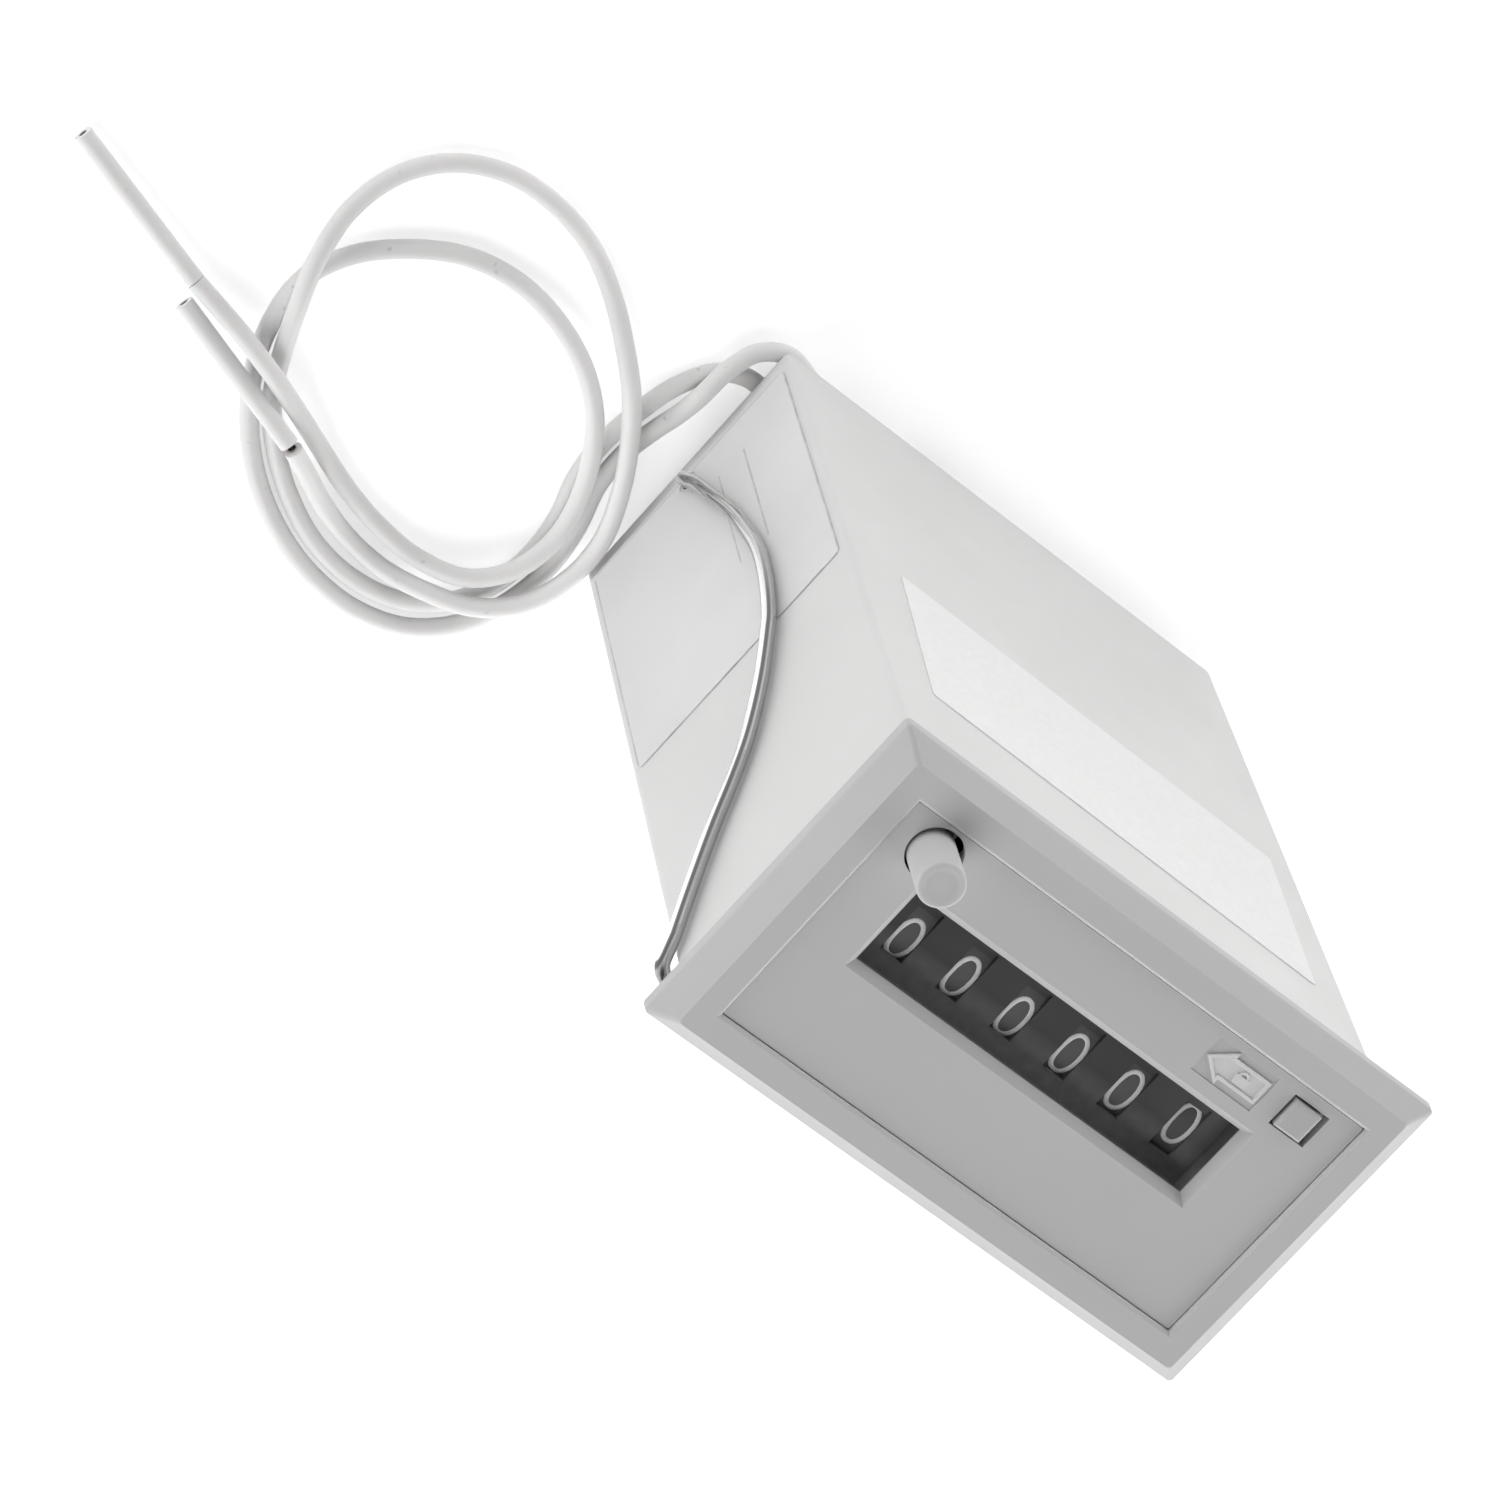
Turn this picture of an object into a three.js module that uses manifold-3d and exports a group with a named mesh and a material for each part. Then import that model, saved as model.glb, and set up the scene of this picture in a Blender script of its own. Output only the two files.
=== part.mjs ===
// An electromagnetic pulse counter with six number wheels, for mounting in a panel cut-out.
// Millimetres. +X runs along the row of digits, +Y points up the digits, +Z points out of the front panel.
// The counter stands on its rear rim: the floor is z = 0, under the middle of the case.
import * as THREE from "three";
import { mergeVertices, toCreasedNormals } from "three/addons/utils/BufferGeometryUtils.js";
import Module from "manifold-3d";

const wasm = await Module();
wasm.setup();

// Case sleeve
const CASE_WIDTH = 58;
const CASE_HEIGHT = 31;
const CASE_DEPTH = 93; // from the front frame's plane to the sleeve's rear edge
const CASE_WALL = 1.5;
const CASE_CORNER = 0.8;
const REAR_STANDOFF = 2.7; // room under the sleeve's rear edge, where the leads come out
const FRONT = REAR_STANDOFF + CASE_DEPTH;
const CASE_LEFT = -CASE_WIDTH / 2;
const CASE_TOP = CASE_HEIGHT / 2;
const INSIDE_X = CASE_WIDTH / 2 - CASE_WALL;
const INSIDE_Y = CASE_HEIGHT / 2 - CASE_WALL;
const COVER_STOP_WIDTH = 0.8;
const COVER_STOP_HEIGHT = 1;

// Bezel: a chamfered frame with a skirt that fits into the sleeve
const BEZEL_OVERHANG_X = 3;
const BEZEL_OVERHANG_Y = 2.35;
const BEZEL_CHAMFER = 2.3; // in depth, and in from the left and right edges
const BEZEL_CHAMFER_Y = 1.8; // in from the upper and lower edges
const BEZEL_EDGE = 1.3;
const BEZEL_CORNER = 0.5;
const BEZEL_WIDTH = CASE_WIDTH + 2 * BEZEL_OVERHANG_X;
const BEZEL_HEIGHT = CASE_HEIGHT + 2 * BEZEL_OVERHANG_Y;
const BEZEL_BACK = FRONT - BEZEL_CHAMFER - BEZEL_EDGE;
const FRAME_WIDTH_X = 2.65; // flat ring between the chamfer and the face panel
const FRAME_WIDTH_Y = 2.85;
const RECESS_WIDTH = BEZEL_WIDTH - 2 * BEZEL_CHAMFER - 2 * FRAME_WIDTH_X;
const RECESS_HEIGHT = BEZEL_HEIGHT - 2 * BEZEL_CHAMFER_Y - 2 * FRAME_WIDTH_Y;
const LEDGE_WIDTH = 0.9;
const LEDGE_WIDTH_X = RECESS_WIDTH / 2 - LEDGE_WIDTH;
const LEDGE_WIDTH_Y = RECESS_HEIGHT / 2 - LEDGE_WIDTH;
const SLEEVE_GROOVE = 0.6; // depth of the groove that the sleeve's front edge enters
const FIT_GAP = 0.1;
const SKIRT_GAP = 0.2;
const SKIRT_WALL = 0.8;
const SKIRT_LENGTH = 4;
const SKIRT_CORNER = 0.2;
const SKIRT_IN_X = INSIDE_X - SKIRT_GAP - SKIRT_WALL;
const SKIRT_IN_Y = INSIDE_Y - SKIRT_GAP - SKIRT_WALL;

// Face panel
const PANEL_RECESS = 0.5;
const PANEL_THICKNESS = 1.2;
const PANEL_FRONT = FRONT - PANEL_RECESS;
const PANEL_BACK = PANEL_FRONT - PANEL_THICKNESS;
const PLATE_SINK = 0.12; // the rectangle round the arrow lies a little lower
const PLATE_WIDTH = 7.3;
const PLATE_HEIGHT = 4.1;
const ARROW_RISE = 0.22;
const ARROW_STROKE = 0.35;

// Chassis: a bent steel channel that carries the shafts, inside the skirt
const SHEET = 1;
const CHASSIS_OUT_X = SKIRT_IN_X - FIT_GAP;
const CHASSIS_IN_X = CHASSIS_OUT_X - SHEET;
const CHASSIS_OUT_Y = -SKIRT_IN_Y + FIT_GAP;
const CHASSIS_IN_Y = CHASSIS_OUT_Y + SHEET;
const CHASSIS_TOP = BEZEL_BACK - 2 * FIT_GAP;
const WALL_LENGTH = 34;
const WALL_TOP_GAP = 1.5;
const LUG_LENGTH = 9;
const LUG_WIDTH = 18;

// Number wheels, one moulding each: drum, transfer gear on its right, carry disc on its left
const WHEEL_NAMES = [
  "hundred_thousands_wheel",
  "ten_thousands_wheel",
  "thousands_wheel",
  "hundreds_wheel",
  "tens_wheel",
  "units_wheel",
];
const ROW_LEFT_ROOM = 5.1; // between the left chassis wall and the first wheel
const ROW_RIGHT_ROOM = 7.45; // between the last drum and the right chassis wall
const DRUM_TOP_GAP = 0.9; // under the upper side of the skirt
const COMB_ROOM = 3; // between the drums and the chassis base
const DRUM_TO_PANEL = 2.8;
const GEAR_WIDTH = 0.75;
const CARRY_WIDTH = 0.68;
const WHEEL_GAP = 0.2;
const GROOVE_WIDTH = GEAR_WIDTH + WHEEL_GAP + CARRY_WIDTH;
const ROW_LEFT = -CHASSIS_IN_X + ROW_LEFT_ROOM;
const ROW_RIGHT = CHASSIS_IN_X - ROW_RIGHT_ROOM;
const WHEEL_PITCH = (ROW_RIGHT - ROW_LEFT + GROOVE_WIDTH - CARRY_WIDTH) / WHEEL_NAMES.length;
const DRUM_WIDTH = WHEEL_PITCH - GROOVE_WIDTH;
const DRUM_RADIUS = (SKIRT_IN_Y - DRUM_TOP_GAP - CHASSIS_IN_Y - COMB_ROOM) / 2;
const AXLE_Y = SKIRT_IN_Y - DRUM_TOP_GAP - DRUM_RADIUS;
const AXLE_Z = PANEL_BACK - DRUM_TO_PANEL - DRUM_RADIUS;
const AXLE_RADIUS = 1.5;
const RUN_GAP = 0.08;
const GEAR_SINK = 1.3; // from the drum's face down to the gear's tips
const GEAR_TEETH = 20;
const PINION_TEETH = 8;
const ADDENDUM_SHARE = 0.82; // of the module, as are the next
const DEDENDUM_SHARE = 1.3;
const CARRY_CLEARANCE_SHARE = 0.35;
const TOOTH_ROOT_SHARE = 0.52; // of one tooth pitch, as are the next three
const TOOTH_TIP_SHARE = 0.2;
const TOOTH_POINTS = 4; // corners of one tooth in an outline
const PINION_ROOT_SHARE = 0.5;
const PINION_TIP_SHARE = 0.26;
const GEAR_MODULE = (DRUM_RADIUS - GEAR_SINK) / (GEAR_TEETH / 2 + ADDENDUM_SHARE);
const ADDENDUM = ADDENDUM_SHARE * GEAR_MODULE;
const DEDENDUM = DEDENDUM_SHARE * GEAR_MODULE;
const GEAR_RADIUS = (GEAR_MODULE * GEAR_TEETH) / 2;
const PINION_RADIUS = (GEAR_MODULE * PINION_TEETH) / 2;
const PINION_Z = AXLE_Z - GEAR_RADIUS - PINION_RADIUS;
const PINION_SHAFT_SHARE = 0.265; // of the pinion's radius
const PINION_SHAFT_RADIUS = PINION_SHAFT_SHARE * PINION_RADIUS;
const PINION_SIDE_GAP = 0.14;
const CARRY_TIP = GEAR_RADIUS - ADDENDUM - CARRY_CLEARANCE_SHARE * GEAR_MODULE;
const CARRY_DEPTH = DEDENDUM;
const CARRY_TURN_SHARE = 0.05; // of a full turn, to each side
const UNITS_HUB_RADIUS = 3;
const UNITS_HUB_LENGTH = 2;

// Window in the face panel, over the drums
const WINDOW_MARGIN = 0.875;
const WINDOW_SHARE = 0.7715; // of the drum's radius
const WINDOW_HEIGHT = WINDOW_SHARE * DRUM_RADIUS;
const WINDOW_BEVEL = 0.95;
const WINDOW_BEVEL_DEPTH = 1;
const WINDOW_SHIFT_X = -0.22;
const WINDOW_SHIFT_Y = 0.27;
const WINDOW_WIDTH = (WHEEL_NAMES.length - 1) * WHEEL_PITCH + DRUM_WIDTH + 2 * WINDOW_MARGIN;
const WINDOW_X = (ROW_LEFT + CARRY_WIDTH + ROW_RIGHT) / 2 + WINDOW_SHIFT_X;
const WINDOW_Y = AXLE_Y + WINDOW_SHIFT_Y;

// Black mask behind the window: a tray with a hole over each drum
const MASK_WALL = 0.45;
const MASK_PLATE = 0.4;
const MASK_DRUM_GAP = 0.65;
const MASK_HOLE_WIDTH = 4.3;
const MASK_HOLE_INSET = 0.8; // from the window's upper or lower side
const MASK_HOLE_HEIGHT = WINDOW_HEIGHT - 2 * MASK_HOLE_INSET;
const MASK_HOLE_RISE = 0.15; // the holes' middle over the drums' axle

// Ratchet wheel and pallet lever beside the units wheel
const RATCHET_TEETH = 10;
const RATCHET_SHARE = 0.524; // of the drum's radius
const RATCHET_TIP = RATCHET_SHARE * DRUM_RADIUS;
const RATCHET_DEPTH = 1.4;
const RATCHET_WIDTH = 1.6;
const PALLET_CLEARANCE = 0.3;
const PALLET_REACH = 1;
const LEVER_ARM_WIDTH = 1.6;
const LEVER_BAR = 2.5;
const LEVER_TOP_RISE = 2.6;
const LEVER_STEM_WIDTH = 3;

// Reset button, its guide and its spring
const BUTTON_INSET_X = 3.55; // in from the bezel's ledge
const BUTTON_INSET_Y = 2.4;
const BUTTON_X = -LEDGE_WIDTH_X + BUTTON_INSET_X;
const BUTTON_Y = LEDGE_WIDTH_Y - BUTTON_INSET_Y;
const BUTTON_RADIUS = 2.25;
const BUTTON_HOLE = 2.7;
const BUTTON_PROUD = 5.9; // above the face panel
const BUTTON_RIM = 0.3;
const STEM_RADIUS = 1.4;
const STEM_BELOW_AXLE = 1.3;
const EAR_WIDTH = 4.2;
const EAR_LENGTH = 5.8;
const EAR_HEIGHT = 1.8;
const SEAT_GAP = 0.3;
const EAR_TOP = BEZEL_BACK - SEAT_GAP;
const STEM_FOOT = AXLE_Z - STEM_BELOW_AXLE;
const GUIDE_RISE = 1.3; // from the axle up to the guide tab's top
const GUIDE_DROP = EAR_TOP - AXLE_Z - GUIDE_RISE;
const GUIDE_WIDTH = 5;
const GUIDE_LENGTH = 5;
const RESET_TURNS = 6;
const RESET_COIL = 1.95;
const RESET_WIRE = 0.22;

// Reset comb: its fingers reach the grooves between the drums
const COMB_RADIUS = 0.9;
const COMB_CLEARANCE = 0.4;
const COMB_Y = CHASSIS_IN_Y + COMB_RADIUS + COMB_CLEARANCE;
const COMB_UNDER_DRUM = 1.7;
const COMB_DROP = DRUM_RADIUS + COMB_UNDER_DRUM;
const COMB_Z = AXLE_Z - COMB_DROP;
const FINGER_SHARE = 0.971; // of the drum's radius
const FINGER_LENGTH = FINGER_SHARE * DRUM_RADIUS;
const FINGER_LEAN = 1.45;
const FINGER_WIDTH = 1.4;
const FINGER_THICKNESS = 1;
const LEVER_THICKNESS = 1.2;
const LEVER_HALF = 1.2;
const PAD_LENGTH = 1.4;

// Lock slider beside the window
const SLOT_INSET_X = 4.43; // in from the bezel's ledge
const SLOT_INSET_Y = 2.17;
const SLOT_X = LEDGE_WIDTH_X - SLOT_INSET_X;
const SLOT_Y = LEDGE_WIDTH_Y - SLOT_INSET_Y;
const SLOT_WIDTH = 4.25;
const SLOT_HEIGHT = 3.7;
const KNOB_WIDTH = 3.1;
const KNOB_HEIGHT = 3.2;
const KNOB_LEFT_GAP = 0.35;
const KNOB_PROUD = 0.6;
const SLIDER_THICKNESS = 1;
const SLIDER_BASE_WIDTH = 6.2;
const SLIDER_BASE_HEIGHT = 4;
const SLIDER_BAR_HEIGHT = 2.4;
const SLIDER_LEFT_TRAVEL = 0.3;
const PLATE_TO_SLOT = 2.15;

// Magnet: yoke, core, bobbin with its winding, and the armature over the pole
const YOKE_Z = 18;
const YOKE_SHEET = 2;
const LIMB_ROOM = 4.5; // between the limb and the inside of the case
const LIMB_Y = INSIDE_Y - LIMB_ROOM;
const COIL_Y = (LIMB_Y + CHASSIS_IN_Y) / 2;
const COIL_CLEARANCE = 1.4;
const BOBBIN_FLANGE = (LIMB_Y - CHASSIS_IN_Y) / 2 - COIL_CLEARANCE;
const YOKE_INSET = 0.8; // from the flange's edge to the yoke's side
const YOKE_WIDTH = 2 * (BOBBIN_FLANGE - YOKE_INSET);
const CORE_SHARE = 0.376; // of the flange's radius, as the next one
const TUBE_SHARE = 0.495;
const CORE_RADIUS = CORE_SHARE * BOBBIN_FLANGE;
const BOBBIN_TUBE = TUBE_SHARE * BOBBIN_FLANGE;
const FLANGE_THICKNESS = 1;
const BOBBIN_LENGTH = 25;
const FLANGE_LIP = 0.5;
const WINDING_RADIUS = BOBBIN_FLANGE - FLANGE_LIP;
const POLE_RISE = 1.2;
const AIR_GAP = 1;
const ARMATURE_SHEET = 1.5;
const ARMATURE_FRONT = 7; // beyond the coil's axis
const KNUCKLE_RADIUS = 1.7;
const PIN_RADIUS = 0.75;
const EAR_SHEET = 1.5;
const TAIL_LENGTH = 2.9;
const TAIL_WIDTH = 3;
const ARM_WIDTH = 4;
const RETURN_TURNS = 8;
const RETURN_COIL = 0.85;
const RETURN_WIRE = 0.18;
const RETURN_LENGTH = 17;
const YOKE_TOP = YOKE_Z + YOKE_SHEET;
const POLE_Z = YOKE_TOP + BOBBIN_LENGTH + POLE_RISE;
const ARMATURE_BOTTOM = POLE_Z + AIR_GAP;
const HINGE_Y = LIMB_Y + YOKE_SHEET / 2;
const HINGE_Z = ARMATURE_BOTTOM + ARMATURE_SHEET / 2;
const ARMATURE_SWING_DEG = 3.4;
const TERMINAL_CLEARANCE = 2.2; // from the winding to a terminal's middle
const TERMINAL_X = -WINDING_RADIUS - TERMINAL_CLEARANCE;
const TERMINAL_SPACING = 4;
const TERMINAL_RADIUS = 0.45;
const TERMINAL_DROP = 2.5;
const TERMINAL_LENGTH = 5.5;
const TERMINAL_BLOCK = 1.5;

// Rear cover, its rim, the lead clamp and the screws
const COVER_GAP = 0.15;
const COVER_THICKNESS = 2.2;
const COVER_TOP = REAR_STANDOFF + COVER_THICKNESS;
const RIM_INSET = 1.5;
const RIM_WALL = 1.6;
const OUTLET_X = -6; // the rim is left open beyond this, towards the top left corner
const OUTLET_Y = 5;
const SCREW_SPACING = 11;
const SCREW_Y = -7.5;
const SCREW_RADIUS = 1;
const SCREW_HEAD = 1.9;
const SCREW_HEAD_HEIGHT = 0.8;
const SCREW_SINK = 1;
const DRIVE_SLOT = 0.6;
const DRIVE_DEPTH = 0.4;
const CLAMP_X = -17;
const CLAMP_WIDTH = 6;
const CLAMP_BOTTOM = 0.2;
const CLAMP_WALL = 1.4;
const SPIGOT_WIDTH = 3.4;
const SPIGOT_RISE = 1.6;
const TAIL_RADIUS = 0.6;

// Leads: two round insulated wires, each ended by a cut slug of insulation on its bare core
const LEAD_RADIUS = 1;
const CORE_WIRE_RADIUS = 0.5;
const SLUG_BORE = 0.6;
const LEAD_SIDES = 8;
const LEAD_1_CUT = 0.3;
const LEAD_2_CUT = 0.9;
const CORE_GAP = 0.28;
const EXIT_INSET = 1.8; // from the case's inside to the upper lead's middle
const LEAD_PITCH = 2.5;
const LEAD_1_EXIT_Y = INSIDE_Y - EXIT_INSET;
const LEAD_2_EXIT_Y = LEAD_1_EXIT_Y - LEAD_PITCH;
const LEAD_EXIT_Z = 1.35;

// Mounting bail: a bowed wire hooked into both sides of the sleeve
const BAIL_RADIUS = 0.6;
const BAIL_FACE_GAP = 0.4;
const BAIL_HINGE_Y = -0.3;
const BAIL_HINGE_Z = 3.8; // above the sleeve's rear edge
const BAIL_HOOK = 1.2; // how far the hook reaches past the wall
const BAIL_HOLE_GAP = 0.12;
const BAIL_BAR_GAP = 0.9; // between the case and the crossbar
const BAIL_PANEL_ROOM = 6.3; // between the bezel's back and the crossbar's middle
const BAIL_BOW_WIDTH = CASE_HEIGHT / 2 + BAIL_BAR_GAP + BAIL_RADIUS + BAIL_HINGE_Y;
const BAIL_REACH = BEZEL_BACK - BAIL_PANEL_ROOM - REAR_STANDOFF - BAIL_HINGE_Z;
const BAIL_HOOK_BEND = 0.95;
const BAIL_BEND = 2;
const BEND_STEPS = 5;
const BOW_STEPS = 26;

// Labels
const LABEL_THICKNESS = 0.12;
const SIDE_LABEL_INSET = 2.6; // from the sleeve's rear edge
const SIDE_LABEL_LENGTH = 42.2;
const SIDE_LABEL_MARGIN = 1.2;
const TOP_LABEL_MARGIN = 5.3;
const TOP_LABEL_LENGTH = 26.8;
const TOP_LABEL_X = 1;
const TOP_LABEL_INSET = 31.5; // from the bezel's back to the label's middle
const TOP_LABEL_TURN_DEG = -2.3;

// Finish of the meshes and of the cuts
const OVERRUN = 1;
const MERGE = 1e-4;
const ROUND_SIDES = 24;
const DRUM_SIDES = 40;
const SMALL_SIDES = 12;
const SPRING_SIDES = 5;
const SPRING_STEPS = 8;
const CREASE_ANGLE = Math.PI / 6;

const COLOURS = {
  ivory: { color: 0xd9dad6, roughness: 0.5, metalness: 0 },
  grey: { color: 0xb2b4b2, roughness: 0.55, metalness: 0 },
  button: { color: 0xd8d8d4, roughness: 0.45, metalness: 0 },
  drum: { color: 0x2b2b2c, roughness: 0.6, metalness: 0 },
  nylon: { color: 0xe8e4d8, roughness: 0.5, metalness: 0 },
  zinc: { color: 0xb9bcbd, roughness: 0.4, metalness: 0.9 },
  steel: { color: 0x9da0a2, roughness: 0.25, metalness: 1 },
  iron: { color: 0x84868a, roughness: 0.5, metalness: 0.9 },
  brass: { color: 0xc8a44c, roughness: 0.35, metalness: 1 },
  copper: { color: 0xb2622f, roughness: 0.4, metalness: 0.8 },
  paper: { color: 0xf2f2f0, roughness: 0.7, metalness: 0 },
  film: { color: 0xdcddda, roughness: 0.4, metalness: 0 },
  insulation: { color: 0xe9e9e6, roughness: 0.45, metalness: 0 },
};

const counter = new THREE.Group();
const materials = new Map();

// One material for each finish, shared by the pieces that have it.
function finish(name) {
  if (!materials.has(name)) {
    materials.set(name, new THREE.MeshStandardMaterial(COLOURS[name]));
  }
  return materials.get(name);
}

// A closed geometry as a solid that can be joined and cut.
function solid(geometry) {
  const bare = geometry.index ? geometry.toNonIndexed() : geometry.clone();
  bare.deleteAttribute("normal");
  bare.deleteAttribute("uv");
  const merged = mergeVertices(bare, MERGE);
  const mesh = new wasm.Mesh({
    numProp: 3,
    vertProperties: merged.attributes.position.array,
    triVerts: new Uint32Array(merged.index.array),
  });
  return new wasm.Manifold(mesh);
}

// The solid's faces as a three.js geometry.
function geometryOf(made) {
  const mesh = made.getMesh();
  const geometry = new THREE.BufferGeometry();
  geometry.setAttribute("position", new THREE.BufferAttribute(mesh.vertProperties, 3));
  geometry.setIndex(new THREE.BufferAttribute(mesh.triVerts, 1));
  return toCreasedNormals(geometry, CREASE_ANGLE);
}

function place(name, shape, material) {
  const geometry = shape.isBufferGeometry ? shape : geometryOf(shape);
  const mesh = new THREE.Mesh(geometry, finish(material));
  mesh.name = name;
  counter.add(mesh);
  return mesh;
}

// A box between two corners.
function box(x0, x1, y0, y1, z0, z1) {
  const geometry = new THREE.BoxGeometry(x1 - x0, y1 - y0, z1 - z0);
  return solid(geometry.translate((x0 + x1) / 2, (y0 + y1) / 2, (z0 + z1) / 2));
}

// A round bar along X between two places, about the point (y, z).
function barX(radius, x0, x1, y, z, sides = ROUND_SIDES) {
  const geometry = new THREE.CylinderGeometry(radius, radius, x1 - x0, sides);
  return solid(geometry.rotateZ(-Math.PI / 2).translate((x0 + x1) / 2, y, z));
}

// A round bar along Z between two heights, about the point (x, y).
function barZ(radius, z0, z1, x, y, sides = ROUND_SIDES, tip = radius) {
  const geometry = new THREE.CylinderGeometry(tip, radius, z1 - z0, sides);
  return solid(geometry.rotateX(Math.PI / 2).translate(x, y, (z0 + z1) / 2));
}

// The corner radius of a hole whose flats clear a round bar by a gap.
function hole(radius, gap, sides = ROUND_SIDES) {
  return (radius + gap) / Math.cos(Math.PI / sides);
}

// A plate with rounded corners, centred on the Z axis.
function slab(width, height, corner, z0, z1) {
  const x = width / 2;
  const y = height / 2;
  const outline = new THREE.Shape();
  outline.moveTo(-x + corner, -y);
  outline.lineTo(x - corner, -y);
  outline.absarc(x - corner, -y + corner, corner, -Math.PI / 2, 0);
  outline.lineTo(x, y - corner);
  outline.absarc(x - corner, y - corner, corner, 0, Math.PI / 2);
  outline.lineTo(-x + corner, y);
  outline.absarc(-x + corner, y - corner, corner, Math.PI / 2, Math.PI);
  outline.lineTo(-x, -y + corner);
  outline.absarc(-x + corner, -y + corner, corner, Math.PI, (3 * Math.PI) / 2);
  const geometry = new THREE.ExtrudeGeometry(outline, {
    depth: z1 - z0,
    bevelEnabled: false,
    curveSegments: 3,
  });
  return solid(geometry.translate(0, 0, z0));
}

// A prism along X of an outline drawn in (y, z).
function prismX(points, x0, x1) {
  const outline = new THREE.Shape(points.map(([y, z]) => new THREE.Vector2(y, z)));
  const geometry = new THREE.ExtrudeGeometry(outline, { depth: x1 - x0, bevelEnabled: false });
  const turn = new THREE.Matrix4().makeBasis(
    new THREE.Vector3(0, 1, 0),
    new THREE.Vector3(0, 0, 1),
    new THREE.Vector3(1, 0, 0),
  );
  return solid(geometry.applyMatrix4(turn).translate(x0, 0, 0));
}

// A prism along Z of an outline drawn in (x, y).
function prismZ(points, z0, z1) {
  const outline = new THREE.Shape(points.map(([x, y]) => new THREE.Vector2(x, y)));
  const geometry = new THREE.ExtrudeGeometry(outline, { depth: z1 - z0, bevelEnabled: false });
  return solid(geometry.translate(0, 0, z0));
}

// A closed solid through rings of points, each with the same number of points, counterclockwise
function loft(rings) {
  const sides = rings[0].length;
  const positions = rings.flat().flatMap((point) => [point.x, point.y, point.z]);
  const faces = [];
  for (let i = 0; i + 1 < rings.length; i += 1) {
    for (let j = 0; j < sides; j += 1) {
      const a = i * sides + j;
      const b = i * sides + ((j + 1) % sides);
      faces.push(a, b, b + sides, a, b + sides, a + sides);
    }
  }
  const last = (rings.length - 1) * sides;
  for (let j = 1; j + 1 < sides; j += 1) {
    faces.push(0, j + 1, j, last, last + j, last + j + 1);
  }
  const geometry = new THREE.BufferGeometry();
  geometry.setAttribute("position", new THREE.Float32BufferAttribute(positions, 3));
  geometry.setIndex(faces);
  geometry.computeVertexNormals();
  return geometry;
}

// A rectangle of four points at one height.
function rectangle(x, y, width, height, z) {
  const w = width / 2;
  const h = height / 2;
  return [
    new THREE.Vector3(x - w, y - h, z),
    new THREE.Vector3(x + w, y - h, z),
    new THREE.Vector3(x + w, y + h, z),
    new THREE.Vector3(x - w, y + h, z),
  ];
}

// A round wire or cord along a curve.
function tube(curve, radius, sides, steps) {
  const section = [];
  for (let i = 0; i < sides; i += 1) {
    const angle = (2 * Math.PI * (i + 0.5)) / sides;
    section.push(new THREE.Vector2(radius * Math.cos(angle), radius * Math.sin(angle)));
  }
  return new THREE.ExtrudeGeometry(new THREE.Shape(section), {
    extrudePath: curve,
    steps,
    bevelEnabled: false,
  });
}

// A round bar bent through a list of points, with a ring of faces at each point.
function bentBar(points, radius, sides) {
  const across = new THREE.Vector3();
  return loft(
    points.map((point, i) => {
      const before = points[Math.max(i - 1, 0)];
      const after = points[Math.min(i + 1, points.length - 1)];
      const ahead = after.clone().sub(before).normalize();
      if (i === 0) {
        across.set(0, 0, 1);
      }
      across.addScaledVector(ahead, -across.dot(ahead)).normalize();
      const side = ahead.clone().cross(across);
      const ring = [];
      for (let j = 0; j < sides; j += 1) {
        const angle = (2 * Math.PI * (j + 0.5)) / sides;
        ring.push(
          point
            .clone()
            .addScaledVector(across, radius * Math.cos(angle))
            .addScaledVector(side, radius * Math.sin(angle)),
        );
      }
      return ring;
    }),
  );
}

// A coil spring about an axis along Z, its ends level with z0 and z1.
function spring(coil, wire, turns, x, y, z0, z1) {
  const rings = [];
  const count = turns * SPRING_STEPS;
  const rise = z1 - z0 - 2 * wire;
  for (let i = 0; i <= count; i += 1) {
    const angle = (2 * Math.PI * i) / SPRING_STEPS;
    const middle = z0 + wire + (rise * i) / count;
    const ring = [];
    for (let j = 0; j < SPRING_SIDES; j += 1) {
      const around = (2 * Math.PI * j) / SPRING_SIDES + Math.PI / 2;
      const out = coil + wire * Math.cos(around);
      ring.push(
        new THREE.Vector3(
          x + out * Math.cos(angle),
          y + out * Math.sin(angle),
          middle + wire * Math.sin(around),
        ),
      );
    }
    rings.push(ring.reverse());
  }
  return loft(rings);
}

// A toothed outline in its own plane: a tooth is centred at the start angle.
function toothed(teeth, root, tip, rootShare, tipShare, start) {
  const points = [];
  const pitch = (2 * Math.PI) / teeth;
  for (let i = 0; i < teeth; i += 1) {
    const middle = start + i * pitch;
    const corners = [
      [root, -rootShare / 2],
      [tip, -tipShare / 2],
      [tip, tipShare / 2],
      [root, rootShare / 2],
    ];
    for (const [radius, share] of corners) {
      const angle = middle + share * pitch;
      points.push([radius * Math.cos(angle), radius * Math.sin(angle)]);
    }
  }
  return points;
}

function shift(points, y, z) {
  return points.map(([a, b]) => [a + y, b + z]);
}

// Places along the row of wheels
function drumLeft(index) {
  return ROW_LEFT + CARRY_WIDTH + index * WHEEL_PITCH;
}

function grooveLeft(index) {
  return drumLeft(index) + DRUM_WIDTH;
}

const LAST_WHEEL = WHEEL_NAMES.length - 1;
const HUB_END = grooveLeft(LAST_WHEEL) + UNITS_HUB_LENGTH;
const RATCHET_LEFT = HUB_END;

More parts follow.
